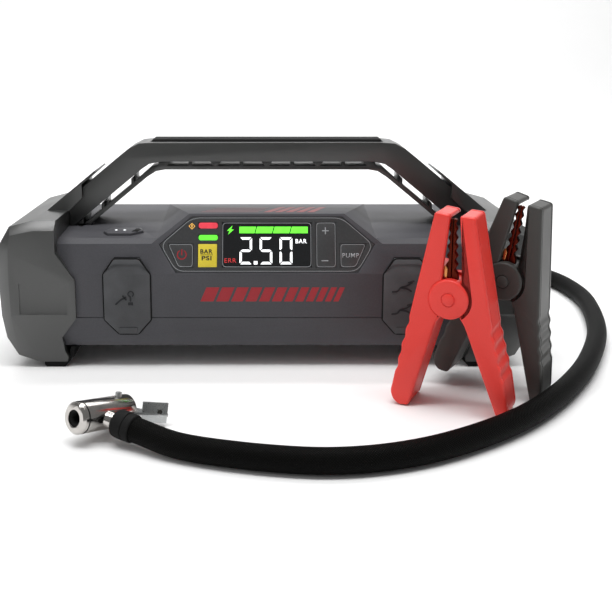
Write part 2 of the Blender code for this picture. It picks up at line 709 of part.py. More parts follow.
def with_ripples(outline, first, sign):
    """Replace the straight outer edge that starts at index first by a rippled one."""
    edge = in_steps(outline[first], outline[first + 1], RIPPLES, 0.9 * sign)
    return outline[:first] + edge + outline[first + 2:]


def jaw(sign):
    """A toothed copper bar in the mouth, its teeth facing its own arm and smaller towards the tip."""
    middle, foot, pitch, teeth = 1.5, 12.6, 4.6, 6
    inner = middle + sign * 0.15
    made = [(inner, foot), (inner, foot + teeth * pitch + 1)]
    for i in range(teeth, -1, -1):
        tooth = 3.2 - 1.2 * i / teeth
        made.append((middle + sign * tooth, foot + 0.3 + i * pitch))
        if i:
            made.append((middle + sign * tooth * 0.5, foot + 0.3 + (i - 0.5) * pitch))
    return made


def clamp(colour, pivot, yaw, roll):
    place = (moved(*pivot) @ Matrix.Rotation(radians(yaw), 4, "Z") @ Matrix.Rotation(radians(roll), 4, "Y"))
    frame = make_empty(f"{colour}_clamp_frame", place, LAYOUT)
    half = CLAMP_DEPTH / 2
    left = piece(f"{colour}_clamp_fixed_arm", prism(with_ripples(LEFT_ARM, 2, 1), -half, half),
                 colour, frame)
    cut(left, cutter(rod((0, -6.5, 0), (0, 6.5, 0), 9.6, sides=28), frame))
    for front in (-1, 1):
        lug = rod((0, front * 6.5, 0), (0, front * (half + 0.9), 0), 10.2, sides=28)
        join(left, cutter(lug, frame))
    right = piece(f"{colour}_clamp_moving_arm", prism(with_ripples(RIGHT_ARM, 2, -1), -half, half),
                  colour, frame)
    for front in (-1, 1):
        room = rod((0, front * 6.2, 0), (0, front * (half + 3), 0), 10.6, sides=28)
        cut(right, cutter(room, frame))
    join(right, cutter(rod((0, -6, 0), (0, 6, 0), 9.1, sides=28), frame))
    bore = cutter(rod((0, -20, 0), (0, 20, 0), 2.9, sides=16), frame)
    room = cutter(rod((0, -3.4, 0), (0, 3.4, 0), 6.4, sides=20), frame)
    face = FACE_PLATE - half
    cut(left, bore, cutter(prism(LEFT_HOLLOW, face, half + 1), frame))
    cut(right, bore, room, cutter(prism(RIGHT_HOLLOW, face, half + 1), frame))
    piece(f"{colour}_clamp_pin", rod((0, -half - 1.3, 0), (0, half + 1.3, 0), 2.6, sides=16), colour, frame)
    turns = [(4.6 * cos(i * pi / 6), -2.2 + i * 4.4 / 36, 4.6 * sin(i * pi / 6)) for i in range(37)]
    piece(f"{colour}_clamp_spring", tube(turns, 0.65, 1), "steel", frame)
    for name, sign in (("fixed", -1), ("moving", 1)):
        piece(f"{colour}_clamp_{name}_jaw", prism(jaw(sign), face + GAP, face + 3.3), "copper", frame)


# ---------------------------------------------------------------- air hose and chuck

CHUCK_BRANCH = Vector((-82, -146, 11.4))
CHUCK_HEADING = radians(-128.8)
CHUCK_TILT = radians(11)
HOSE_ROUTE = [(-62, -157.5, 8.6), (-41, -169.3, 6.3), (-14, -178.5, 6.2), (15, -184, 6.2), (37, -184, 6.2),
              (60, -179, 6.2), (84, -168.5, 6.2), (112, -150, 6.2), (136, -128.5, 6.2), (162, -97, 6.2),
              (187, -57, 6.2), (211, -4, 6.2), (226, 52, 6.2), (230, 92, 6.2), (223, 132, 6.2),
              (199, 164, 6.2), (163, 182, 6.4), (124, 188, 6.9), (92, 188, 6.9)]
HOSE_POINTS = 40


def chuck():
    """A lock-on tyre chuck: barrel with a side neck, cross pin and thumb lever."""
    turn = Matrix.Rotation(CHUCK_HEADING, 4, "Z") @ Matrix.Rotation(-CHUCK_TILT, 4, "Y")
    frame = make_empty("chuck_frame", Matrix.Translation(CHUCK_BRANCH * MM) @ turn, LAYOUT)
    front, rear, radius = 14.5, -19.5, 7.8
    long, bore = front - rear, 4.1
    profile = [(0, 0), (radius - 0.8, 0), (radius, 0.8), (radius, long - 1.2), (radius - 1.2, long),
               (bore, long), (bore, long - 9), (0, long - 9)]
    barrel = piece("chuck_barrel", turned((rear, 0, 0), (front, 0, 0), profile, 32), "chrome", frame)
    neck = hose_start() - CHUCK_BRANCH
    local = turn.inverted() @ neck
    reach = local.normalized()
    join(barrel, cutter(rod(reach * 3, reach * 11.5, 4.2, sides=20), frame))
    cut(barrel, cutter(box((rear - 2, -9, -1.1), (-6.5, 9, 1.1)), frame))
    cut(barrel, cutter(rod((-12.5, 0, -12), (-12.5, 0, 12), 1.9, sides=16), frame))
    piece("chuck_pin", rod((-12.5, 0, -8.6), (-12.5, 0, 9.6), 1.6, sides=16), "steel", frame)
    blade = [(-9.3, -4.5), (-8.3, 0), (-9.3, 4.5), (-15, 7.2), (-20, 10.2), (-30.5, 18), (-32, 16),
             (-29, 9), (-20, -3.5)]
    lever = piece("chuck_lever", prism(blade, -0.7, 0.7, "flat"), "steel", frame, origin=(-12.5, 0, 0))
    join(lever, cutter(prism([(-20.3, 9.8), (-30.5, 17.4), (-31.4, 16.2), (-21.2, 8.6)], -4, 6, "flat"),
                       frame))
    cut(lever, cutter(rod((-12.5, 0, -5), (-12.5, 0, 5), 1.9, sides=16), frame))
    start = hose_start()
    along = (start - CHUCK_BRANCH).normalized()
    piece("hose_sleeve", rod(CHUCK_BRANCH + along * 11.8, start - along * 0.6, 6.6, 6.9), "rubber")


def hose_start():
    return Vector(HOSE_ROUTE[0])


def air_hose():
    route = smooth_route(HOSE_ROUTE, HOSE_POINTS)
    piece("air_hose", tube(route, HOSE_RADIUS, 3), "hose")
    end = route[-1]
    along = (route[-1] - route[-2]).normalized()
    piece("hose_end_sleeve", rod(end + along * GAP, end + along * 16, 6.6, 6.1), "rubber")
    nipple = piece("hose_connector", rod(end + along * 16.3, end + along * 22, 6.1, sides=6), "brass")
    join(nipple, cutter(rod(end + along * 21.9, end + along * 33, 3.9, sides=20)))
    cut(nipple, cutter(rod(end + along * 24, end + along * 40, 2.4, sides=16)))


# ---------------------------------------------------------------- assembly

housings()
lamp_button()
end_cap(-1, "left_end_cap")
end_cap(1, "right_end_cap")
feet()
handle()
control_panel()
ports()
battery()
pump()
clamp("red", (96.7, -107, 60.6), -26, 0)
clamp("black", (130.5, -86, 64.4), -32, 9)
chuck()
air_hose()
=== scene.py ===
"""Looks of a jump starter pack with a tyre inflator, its battery clamps and its air hose.

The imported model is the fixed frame. Metres, +Z up, the control panel faces -Y. Outlines are
written in millimetres and turned to metres by MM.
"""

import json
from math import atan2, cos, pi, radians, sin, tan

import bmesh
import bpy
import numpy as np
from bpy.props import FloatProperty, FloatVectorProperty, IntProperty, PointerProperty
from mathutils import Matrix, Vector


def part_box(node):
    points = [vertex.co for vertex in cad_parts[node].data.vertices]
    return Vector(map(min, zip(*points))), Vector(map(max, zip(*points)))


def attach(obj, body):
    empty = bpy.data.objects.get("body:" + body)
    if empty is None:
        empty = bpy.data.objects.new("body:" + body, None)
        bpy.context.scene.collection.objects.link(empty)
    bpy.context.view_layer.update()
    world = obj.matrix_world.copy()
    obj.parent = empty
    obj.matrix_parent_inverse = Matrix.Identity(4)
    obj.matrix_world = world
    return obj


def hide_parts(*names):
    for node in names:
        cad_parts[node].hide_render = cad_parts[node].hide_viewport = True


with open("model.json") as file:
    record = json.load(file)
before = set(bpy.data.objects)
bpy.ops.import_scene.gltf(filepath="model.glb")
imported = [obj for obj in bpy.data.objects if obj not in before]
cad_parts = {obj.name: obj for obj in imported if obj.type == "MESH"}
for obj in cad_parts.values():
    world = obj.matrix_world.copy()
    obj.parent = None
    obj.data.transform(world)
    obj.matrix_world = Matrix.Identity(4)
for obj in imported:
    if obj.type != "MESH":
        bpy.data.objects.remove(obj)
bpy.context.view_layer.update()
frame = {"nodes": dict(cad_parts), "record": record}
NODES = frame["nodes"]

bl_info = {
    "name": "Jump starter pack",
    "version": (1, 0, 0),
    "blender": (4, 5, 0),
    "location": "3D View > Sidebar > Jump starter",
    "description": "Finishes, markings and fine parts of a jump starter pack",
    "category": "Object",
}

MM = 0.001


# ---------------------------------------------------------------- places, read from the frame

def middle(node):
    """The middle of a node's box."""
    low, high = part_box(node)
    return (low + high) / 2


# The pack's own middle plane in Y, and the plane that the control panel lies in: it starts
# at the crease line and leans back by LEAN.
PACK_Y = (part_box("left_end_cap")[0].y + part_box("left_end_cap")[1].y) / 2 / MM
LEAN = atan2(5.5, 16.6)
CREASE = (-53.0, 57.3)
PANEL_PLANE = (Matrix.Translation(Vector((0, CREASE[0] + PACK_Y, CREASE[1])) * MM)
               @ Matrix.Rotation(pi / 2 - LEAN, 4, "X"))
PORT_X = middle("jump_socket").x / MM

# Clamp frames: pivot, then turn about Z and lean about Y
CLAMPS = {
    "red": ((96.7, -107, 60.6), -26, 0),
    "black": ((130.5, -86, 64.4), -32, 9),
}
CLAMP_DEPTH = 23.0

# The hose's route from the chuck's sleeve to the loose end, in millimetres
HOSE_ROUTE = [(-62, -157.5, 8.6), (-41, -169.3, 6.3), (-14, -178.5, 6.2), (15, -184, 6.2), (37, -184, 6.2),
              (60, -179, 6.2), (84, -168.5, 6.2), (112, -150, 6.2), (136, -128.5, 6.2), (162, -97, 6.2),
              (187, -57, 6.2), (211, -4, 6.2), (226, 52, 6.2), (230, 92, 6.2), (223, 132, 6.2),
              (199, 164, 6.2), (163, 182, 6.4), (124, 188, 6.9), (92, 188, 6.9)]
CHUCK_BRANCH = (-82, -146, 11.4)
CHUCK_HEADING, CHUCK_TILT = radians(-128.8), radians(11)


def in_pack(points):
    """Points of the pack's own layout, in millimetres, as an array in the frame's metres."""
    return (np.asarray(points, float) + (0, PACK_Y, 0)) * MM


def clamp_frame(colour):
    """The place of a clamp: its pivot, turned about Z and leant about Y."""
    pivot, yaw, roll = CLAMPS[colour]
    place = Matrix.Translation(Vector((pivot[0], pivot[1] + PACK_Y, pivot[2])) * MM)
    return place @ Matrix.Rotation(radians(yaw), 4, "Z") @ Matrix.Rotation(radians(roll), 4, "Y")


def chuck_frame():
    """The place of the chuck's barrel, from the point where the hose branches off."""
    x, y, z = CHUCK_BRANCH
    turn = Matrix.Rotation(CHUCK_HEADING, 4, "Z") @ Matrix.Rotation(-CHUCK_TILT, 4, "Y")
    return Matrix.Translation(Vector((x, y + PACK_Y, z)) * MM) @ turn


# ---------------------------------------------------------------- node helper and colours

def linear(colour):
    """An sRGB hex colour as linear RGBA."""
    channels = [int(colour[i:i + 2], 16) / 255 for i in (0, 2, 4)]
    return (*(c / 12.92 if c <= 0.04045 else ((c + 0.055) / 1.055) ** 2.4 for c in channels), 1)


def add(tree, kind, values=None, links=None, **settings):
    """Add one shader node with its settings, socket values and incoming links."""
    node = tree.nodes.new("ShaderNode" + kind)
    for name, value in settings.items():
        setattr(node, name, value)
    for socket, value in (values or {}).items():
        node.inputs[socket].default_value = value
    for socket, source in (links or {}).items():
        tree.links.new(source, node.inputs[socket])
    return node


def ramp(tree, source, stops):
    """A colour ramp: stops are (position, linear colour)."""
    node = add(tree, "ValToRGB", links={"Fac": source})
    for _ in stops[2:]:
        node.color_ramp.elements.new(1.0)
    for element, (place, colour) in zip(node.color_ramp.elements, stops):
        element.position = place
        element.color = colour
    return node


def shade(colour, factor):
    """A linear colour made darker or lighter by a factor, never past 1."""
    return (*(min(c * factor, 1) for c in colour[:3]), 1)


def start(name, **values):
    """A new material with its Principled shader and the Object coordinates."""
    made = bpy.data.materials.new(name)
    made.use_nodes = True
    tree = made.node_tree
    tree.nodes.clear()
    shader = add(tree, "BsdfPrincipled", values)
    add(tree, "OutputMaterial", links={"Surface": shader.outputs["BSDF"]})
    place = add(tree, "TexCoord")
    return made, tree, shader, place.outputs["Object"]


def bump(tree, shader, height, distance, strength=1.0):
    """Lead a height pattern to the shader's normal; distance is in metres."""
    node = add(tree, "Bump", {"Distance": distance, "Strength": strength}, {"Height": height})
    tree.links.new(node.outputs["Normal"], shader.inputs["Normal"])


def moulded(name, colour, roughness, grain, depth, coat=0.0, blotch=0.08, sparkle=0.5, speckle=0.09):
    """Injection-moulded plastic. The mould's spark-eroded grain breaks the highlight into fine
    specks. grain is its pitch in millimetres, drawn about three times as coarse as the real one so
    that it shows; slow patches vary tone and gloss by a few percent."""
    rgb = linear(colour) if isinstance(colour, str) else (*colour, 1)
    made, tree, shader, place = start(name, **{"IOR": 1.53, "Coat Weight": coat, "Coat Roughness": 0.12,
                                               "Specular IOR Level": sparkle})
    fine = add(tree, "TexNoise", {"Scale": 1 / (grain * MM), "Detail": 2.0, "Roughness": 0.55},
               {"Vector": place})
    slow = add(tree, "TexNoise", {"Scale": 1 / (45 * MM), "Detail": 3.0}, {"Vector": place})
    tone = ramp(tree, slow.outputs["Fac"], [(0.3, shade(rgb, 1 - blotch)), (0.7, shade(rgb, 1 + blotch))])
    speck = ramp(tree, fine.outputs["Fac"], [(0.35, shade((1, 1, 1, 1), 1 - speckle)), (0.65, (1, 1, 1, 1))])
    colour_out = add(tree, "Mix", {"Factor": 1.0}, data_type="RGBA", blend_type="MULTIPLY")
    tree.links.new(tone.outputs["Color"], colour_out.inputs["A"])
    tree.links.new(speck.outputs["Color"], colour_out.inputs["B"])
    tree.links.new(colour_out.outputs["Result"], shader.inputs["Base Color"])
    gloss = add(tree, "MapRange", {"From Min": 0.25, "From Max": 0.75, "To Min": roughness - 0.05,
                                   "To Max": roughness + 0.06}, {"Value": slow.outputs["Fac"]})
    tree.links.new(gloss.outputs["Result"], shader.inputs["Roughness"])
    bump(tree, shader, fine.outputs["Fac"], depth * MM)
    return made


def rubber(name, colour, roughness=0.78):
    """Moulded rubber: dull, with a slight bloom in patches and a fine pebbled skin."""
    rgb = linear(colour)
    made, tree, shader, place = start(name, **{"IOR": 1.5, "Specular IOR Level": 0.2})
    pebble = add(tree, "TexVoronoi", {"Scale": 1 / (0.9 * MM)}, {"Vector": place}, feature="SMOOTH_F1")
    bloom = add(tree, "TexNoise", {"Scale": 1 / (18 * MM), "Detail": 4.0}, {"Vector": place})
    tone = ramp(tree, bloom.outputs["Fac"], [(0.35, shade(rgb, 0.88)), (0.75, shade(rgb, 1.25))])
    tree.links.new(tone.outputs["Color"], shader.inputs["Base Color"])
    dull = add(tree, "MapRange", {"To Min": roughness - 0.08, "To Max": roughness + 0.08},
               {"Value": bloom.outputs["Fac"]})
    tree.links.new(dull.outputs["Result"], shader.inputs["Roughness"])
    bump(tree, shader, pebble.outputs["Distance"], 0.06 * MM)
    return made


def metal(name, colour, roughness, stretch=(1, 1, 1), scratch=0.9, depth=0.01):
    """Bare or plated metal. Fine marks along the way it was worked, stretched by the Mapping, vary
    the roughness."""
    rgb = linear(colour)
    made, tree, shader, place = start(name, **{"Metallic": 1.0})
    turn = add(tree, "Mapping", {"Scale": stretch}, {"Vector": place})
    marks = add(tree, "TexNoise", {"Scale": 1 / (scratch * MM), "Detail": 4.0, "Roughness": 0.65},
                {"Vector": turn.outputs["Vector"]})
    smudge = add(tree, "TexNoise", {"Scale": 1 / (7 * MM), "Detail": 2.0}, {"Vector": place})
    tone = ramp(tree, smudge.outputs["Fac"], [(0.3, shade(rgb, 0.86)), (0.75, shade(rgb, 1.05))])
    tree.links.new(tone.outputs["Color"], shader.inputs["Base Color"])
    rough = add(tree, "MapRange", {"From Min": 0.3, "From Max": 0.7, "To Min": max(roughness * 0.6, 0.03),
                                   "To Max": roughness * 1.5}, {"Value": marks.outputs["Fac"]})
    tree.links.new(rough.outputs["Result"], shader.inputs["Roughness"])
    bump(tree, shader, marks.outputs["Fac"], depth * MM)
    return made


def glossy_panel(name, colour, roughness):
    """Hard-coated polycarbonate overlay: a dark sheet under a clear lacquer, with a faint ripple."""
    rgb = linear(colour)
    made, tree, shader, place = start(name, **{"IOR": 1.58, "Coat Weight": 0.5, "Coat Roughness": 0.06})
    ripple = add(tree, "TexNoise", {"Scale": 1 / (9 * MM), "Detail": 1.0}, {"Vector": place})
    dust = add(tree, "TexNoise", {"Scale": 1 / (1.2 * MM), "Detail": 3.0}, {"Vector": place})
    tone = ramp(tree, dust.outputs["Fac"], [(0.4, shade(rgb, 0.92)), (0.62, shade(rgb, 1.1))])
    tree.links.new(tone.outputs["Color"], shader.inputs["Base Color"])
    gloss = add(tree, "MapRange", {"To Min": roughness, "To Max": roughness + 0.12},
                {"Value": dust.outputs["Fac"]})
    tree.links.new(gloss.outputs["Result"], shader.inputs["Roughness"])
    bump(tree, shader, ripple.outputs["Fac"], 0.05 * MM, 0.4)
    return made


def lit(name, colour, glow, roughness=0.35):
    """A lit legend: tinted diffuser over a lamp, a little brighter in its middle patches."""
    rgb = linear(colour)
    made, tree, shader, place = start(name, **{"Roughness": roughness, "Emission Strength": glow,
                                               "IOR": 1.5})
    cloud = add(tree, "TexNoise", {"Scale": 1 / (4 * MM), "Detail": 1.0}, {"Vector": place})
    tone = ramp(tree, cloud.outputs["Fac"], [(0.3, shade(rgb, 0.85)), (0.7, rgb)])
    tree.links.new(tone.outputs["Color"], shader.inputs["Base Color"])
    tree.links.new(tone.outputs["Color"], shader.inputs["Emission Color"])
    return made


def printed(name, colour, roughness=0.45):
    """Screen-printed ink: flat colour with a slightly uneven, thin edge-to-edge deposit."""
    rgb = linear(colour)
    made, tree, shader, place = start(name, **{"IOR": 1.5})
    dots = add(tree, "TexNoise", {"Scale": 1 / (0.5 * MM), "Detail": 2.0}, {"Vector": place})
    tone = ramp(tree, dots.outputs["Fac"], [(0.3, shade(rgb, 0.9)), (0.7, shade(rgb, 1.05))])
    tree.links.new(tone.outputs["Color"], shader.inputs["Base Color"])
    gloss = add(tree, "MapRange", {"To Min": roughness - 0.05, "To Max": roughness + 0.1},
                {"Value": dots.outputs["Fac"]})
    tree.links.new(gloss.outputs["Result"], shader.inputs["Roughness"])
    return made


def braided_hose(name, colour):
    """Rubber hose under a tight textile braid: two sets of strands cross at 45 degrees. The braid is
    drawn on the hose's own UV map, U along it and V round it, both in millimetres, about twice as
    coarse as the real one so that it shows."""
    rgb = linear(colour)
    made, tree, shader, _ = start(name, **{"IOR": 1.5, "Specular IOR Level": 0.06})
    sheet = add(tree, "UVMap", uv_map="UVMap")
    strands = []
    for turn in (45, -45):
        lay = add(tree, "Mapping", {"Rotation": (0, 0, radians(turn))}, {"Vector": sheet.outputs["UV"]})
        strands.append(add(tree, "TexWave", {"Scale": 0.36, "Distortion": 0.25, "Detail": 1.0},
                           {"Vector": lay.outputs["Vector"]}, bands_direction="X"))
    over = add(tree, "Math", {}, {0: strands[0].outputs["Fac"], 1: strands[1].outputs["Fac"]},
               operation="MULTIPLY")
    fibre = add(tree, "TexNoise", {"Scale": 3.0, "Detail": 3.0}, {"Vector": sheet.outputs["UV"]})
    tone = ramp(tree, over.outputs["Value"], [(0.05, shade(rgb, 0.4)), (0.75, shade(rgb, 1.5))])
    tree.links.new(tone.outputs["Color"], shader.inputs["Base Color"])
    dull = add(tree, "MapRange", {"To Min": 0.4, "To Max": 0.62}, {"Value": fibre.outputs["Fac"]})
    tree.links.new(dull.outputs["Result"], shader.inputs["Roughness"])
    bump(tree, shader, over.outputs["Value"], 0.35 * MM)
    return made


def circuit_board(name):
    """Fibreglass board with solder mask: green, with paler copper tracks under the mask."""
    made, tree, shader, place = start(name, **{"IOR": 1.5, "Roughness": 0.35})
    tracks = add(tree, "TexBrick", {"Scale": 1 / (9 * MM), "Mortar Size": 0.03,
                                    "Color1": linear("14532B"), "Color2": linear("1B6434"),
                                    "Mortar": linear("3F8F4F")}, {"Vector": place})
    tree.links.new(tracks.outputs["Color"], shader.inputs["Base Color"])
    bump(tree, shader, tracks.outputs["Fac"], 0.04 * MM)
    return made


def lamp_lens(name):
    """Frosted work-lamp lens: prism ribs over a row of small lamps."""
    made, tree, shader, place = start(name, **{"IOR": 1.49, "Roughness": 0.2, "Coat Weight": 0.6,
                                               "Coat Roughness": 0.08})
    turn = add(tree, "Mapping", {"Scale": (1, 1 / (5.2 * MM), 1 / (5.2 * MM))}, {"Vector": place})
    lamps = add(tree, "TexVoronoi", {"Scale": 1.0, "Randomness": 0.0}, {"Vector": turn.outputs["Vector"]})
    tone = ramp(tree, lamps.outputs["Distance"], [(0.12, linear("F6EFC9")), (0.42, linear("C9CDD0"))])
    tree.links.new(tone.outputs["Color"], shader.inputs["Base Color"])
    ribs = add(tree, "TexWave", {"Scale": 1 / (9 * MM)}, {"Vector": place}, bands_direction="Y")
    bump(tree, shader, ribs.outputs["Fac"], 0.3 * MM)
    return made


def floor_paint(name, colour):
    """Matt white paper with a barely seen cloud of tone."""
    made, tree, shader, place = start(name, **{"Roughness": 0.75})
    cloud = add(tree, "TexNoise", {"Scale": 1.5, "Detail": 3.0}, {"Vector": place})
    rgb = linear(colour)
    tone = ramp(tree, cloud.outputs["Fac"], [(0.3, shade(rgb, 0.985)), (0.7, rgb)])
    tree.links.new(tone.outputs["Color"], shader.inputs["Base Color"])
    return made


FINISHES = {}


def make_finishes(colours):
    """Every finish of the object, keyed by the record's slots and a few of the looks' own."""
    FINISHES.update({
        "housing_plastic": moulded("abs_textured_slate", colours.housing_rgb, 0.52, 0.8, 0.025,
                                   sparkle=0.24),
        "bumper_plastic": moulded("abs_textured_grey", colours.bumper_rgb, 0.34, 0.8, 0.022,
                                  sparkle=0.8),
        "panel_plastic": glossy_panel("polycarbonate_black", "363738", 0.25),
        "key_plastic": glossy_panel("silicone_key_black", "363738", 0.32),
        "display_window": glossy_panel("acrylic_smoked", "0B0D10", 0.06),
        "yellow_key": moulded("silicone_key_yellow", "E0CC3A", 0.4, 0.5, 0.01),
        "red_light": lit("diffuser_red", "D8404E", 0.55),
        "green_light": lit("diffuser_green", "5FE03A", 0.9),
        "lamp_lens": lamp_lens("acrylic_frosted"),
        "black_rubber": rubber("rubber_black", "101010"),
        "cover_rubber": rubber("rubber_grey", "4E4F51", 0.66),
        # The raised cover signs: the covers' grey painted darker, as painted shade round their relief
        "sign_rubber": rubber("rubber_grey_painted_shade", "2C2D2F", 0.6),
        "red_plastic": moulded("abs_gloss_red", colours.red_rgb, 0.38, 0.7, 0.005, 0.05, 0.04,
                               0.35, 0.03),
        "black_plastic": moulded("abs_gloss_black", colours.black_rgb, 0.4, 0.7, 0.005, 0.03, 0.1,
                                 0.2, 0.04),
        # The jaws' copper: its base painted dark brown, as painted shade of copper inside the jaws
        "copper": metal("copper_dark_painted_shade", "5A2015", 0.38, scratch=0.8, depth=0.02),
        # Bright orange copper for the root clip: a painted highlight
        "worn_copper": metal("copper_painted_highlight", "D08C55", 0.25, scratch=0.5, depth=0.02),
        "chrome": metal("chromed_brass", "C4C0BC", 0.14, (1, 1, 1), 1.6, 0.004),
        "zinc_steel": metal("zinc_plated_steel", "B4B6B6", 0.32, (1, 6, 1), 0.7, 0.015),
        "brass": metal("turned_brass", "C39A4A", 0.26, (6, 1, 6), 0.6, 0.015),
        "aluminium": metal("cast_aluminium", "A9ACAF", 0.45, (1, 1, 1), 1.1, 0.05),
        "hose_rubber": braided_hose("braided_hose", "050504"),
        "nylon": moulded("nylon_natural", "D8D4C6", 0.45, 0.8, 0.02),
        "cell_wrap": glossy_panel("shrink_film_blue", "2F5F98", 0.25),
        "circuit_board": circuit_board("fibreglass_green"),
        "line_ink": printed("ink_pale_grey", "A0A3A6"),
        "red_ink": printed("ink_red", "A01E28"),
        "deep_red_ink": printed("ink_deep_red", "8C1A22"),
        "dim_red_ink": printed("ink_dim_red", "6E2A30"),
        "dark_ink": printed("ink_black", "1A1810"),
        "dim_ink": printed("ink_dark_grey", "303338"),
        "white_segment": lit("diffuser_white", "F4F6F8", 1.3),
        "green_segment": lit("segment_green", "62E83A", 1.2),
        "red_segment": lit("segment_red", "C03434", 0.5),
        "amber_segment": lit("segment_amber", "E8B050", 0.9),
    })


# ---------------------------------------------------------------- finishing what the frame holds

WELD_GAP = 0.00001
FLAT_ANGLE = radians(0.6)
ROUND_OVER = radians(28)
SHARP_OVER = radians(32)
NEW_PIECE_SHARP_OVER = radians(35)


def smooth_group():
    """A node group that shades smooth, with edges over SHARP_OVER kept sharp."""
    group = bpy.data.node_groups.new("smooth_by_angle", "GeometryNodeTree")
    group.interface.new_socket("Geometry", in_out="INPUT", socket_type="NodeSocketGeometry")
    group.interface.new_socket("Geometry", in_out="OUTPUT", socket_type="NodeSocketGeometry")
    come, leave = group.nodes.new("NodeGroupInput"), group.nodes.new("NodeGroupOutput")
    faces = group.nodes.new("GeometryNodeSetShadeSmooth")
    edges = group.nodes.new("GeometryNodeSetShadeSmooth")
    edges.domain = "EDGE"
    edges.inputs["Shade Smooth"].default_value = False
    angle = group.nodes.new("GeometryNodeInputMeshEdgeAngle")
    sharp = group.nodes.new("FunctionNodeCompare")
    sharp.inputs["B"].default_value = SHARP_OVER
    group.links.new(come.outputs[0], faces.inputs["Geometry"])
    group.links.new(faces.outputs[0], edges.inputs["Geometry"])
    group.links.new(angle.outputs["Unsigned Angle"], sharp.inputs["A"])
    group.links.new(sharp.outputs["Result"], edges.inputs["Selection"])
    group.links.new(edges.outputs[0], leave.inputs[0])
    return group


def finish_node(node, width, segments, group):
    """Merge a node's triangles, round its edges by width (mm) and shade it smooth."""
    thing = NODES[node]
    weld = thing.modifiers.new("weld", "WELD")
    weld.merge_threshold = WELD_GAP
    plain = thing.modifiers.new("flat_faces", "DECIMATE")
    plain.decimate_type = "DISSOLVE"
    plain.angle_limit = FLAT_ANGLE
    if width:
        edge = thing.modifiers.new("edge", "BEVEL")
        edge.width = width * MM
        edge.segments = segments
        edge.limit_method = "ANGLE"
        edge.angle_limit = ROUND_OVER
        edge.use_clamp_overlap = True
    shading = thing.modifiers.new("smooth", "NODES")
    shading.node_group = group


def paint(thing, finish):
    """Give a piece one finish."""
    thing.data.materials.clear()
    thing.data.materials.append(FINISHES[finish])


# Edge rounding of each node in millimetres and its number of steps; the others get 0.25 and 2
EDGES = {
    "upper_housing": (1.1, 3), "lower_housing": (0.9, 3), "left_end_cap": (1.2, 3), "right_end_cap": (1.2, 3),
    "handle_frame": (1.3, 3), "handle_lattice_shell": (0.35, 2), "handle_grip_strip": (0.6, 3),
    "control_panel": (0.12, 1), "display_window": (0.12, 1), "lamp_button": (0.5, 3),
    "left_port_cover": (0.45, 3), "right_port_cover": (0.45, 3), "battery_cell_1": (1.5, 3),
    "battery_cell_2": (1.5, 3), "battery_cell_3": (1.5, 3), "drive_gear": (0, 0), "motor_pinion": (0, 0),
}
PLAIN_EDGE = (0.25, 2)


# ---------------------------------------------------------------- shapes

def new_piece(name, verts, faces, body, finish, slot=None, smooth=True, place=None):
    """A mesh from arrays in metres, at the origin, riding on a body. place is applied to the mesh."""
    mesh = bpy.data.meshes.new(name)
    mesh.from_pydata([tuple(v) for v in verts.tolist()], [], [tuple(f) for f in faces])
    if place is not None:
        mesh.transform(place)
    mesh.validate()
    thing = bpy.data.objects.new(name, mesh)
    bpy.context.scene.collection.objects.link(thing)
    if smooth:
        mesh.shade_smooth()
        mesh.set_sharp_from_angle(angle=NEW_PIECE_SHARP_OVER)
    mesh.materials.append(FINISHES[finish])
    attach(thing, body)
    return thing


def grid_faces(rows, columns, closed=True, looped=False):
    """Quads of a grid of rows by columns of points. Each row may close on itself, and the last row may
    join the first."""
    r, c = np.meshgrid(np.arange(rows if looped else rows - 1),
                       np.arange(columns if closed else columns - 1), indexing="ij")
    n, k = (c + 1) % columns, (r + 1) % rows
    quads = np.stack([r * columns + c, r * columns + n, k * columns + n, k * columns + c], -1)
    return quads.reshape(-1, 4).tolist()


def capped_grid(points):
    """Vertices and faces of a closed tube of rings, points[row, column, xyz], capped at both ends."""
    rows, columns = points.shape[:2]
    faces = grid_faces(rows, columns)
    faces.append(list(range(columns))[::-1])
    faces.append(list(range((rows - 1) * columns, rows * columns)))
    return points.reshape(-1, 3), faces


def outwards(thing):
    """Close a piece's poles by merging their doubles, then turn its faces outwards."""
    shape = bmesh.new()
    shape.from_mesh(thing.data)
    bmesh.ops.remove_doubles(shape, verts=shape.verts, dist=1e-7)
    bmesh.ops.recalc_face_normals(shape, faces=shape.faces)
    if shape.calc_volume(signed=True) < 0:
        bmesh.ops.reverse_faces(shape, faces=shape.faces)
    shape.to_mesh(thing.data)
    shape.free()
    return thing


def solid_piece(name, solid, body, finish, slot=None, place=None, smooth=True):
    """A closed piece made from its (vertices, faces), with its faces outwards."""
    return outwards(new_piece(name, *solid, body, finish, slot, smooth, place))


def rectangle(left, low, right, high):
    """The four corners of an upright rectangle."""
    return [(left, low), (right, low), (right, high), (left, high)]


def rounded(corners, radius, steps=5):
    """A closed outline whose corners are quadratic arcs: each arc blends from radius before the corner
    to radius after it. corners is (n, 2); radius may be one number or one per corner."""
    corners = np.asarray(corners, float)
    radius = np.broadcast_to(np.asarray(radius, float), len(corners))
    back = np.roll(corners, 1, 0) - corners
    ahead = np.roll(corners, -1, 0) - corners
    back_long, ahead_long = np.linalg.norm(back, axis=1), np.linalg.norm(ahead, axis=1)
    reach = np.minimum(radius, 0.49 * np.minimum(back_long, ahead_long))[:, None]
    first, last = corners + back / back_long[:, None] * reach, corners + ahead / ahead_long[:, None] * reach
    t = np.linspace(0, 1, steps)[None, :, None]
    arcs = (1 - t) ** 2 * first[:, None] + 2 * t * (1 - t) * corners[:, None] + t ** 2 * last[:, None]
    return arcs.reshape(-1, 2)


def evenly(outline, count):
    """A closed outline resampled to count points at even steps along it."""
    closed = np.vstack([outline, outline[:1]])
    reach = np.r_[0, np.cumsum(np.linalg.norm(np.diff(closed, axis=0), axis=1))]
    want = np.linspace(0, reach[-1], count, endpoint=False)
    return np.stack([np.interp(want, reach, closed[:, i]) for i in (0, 1)], -1)


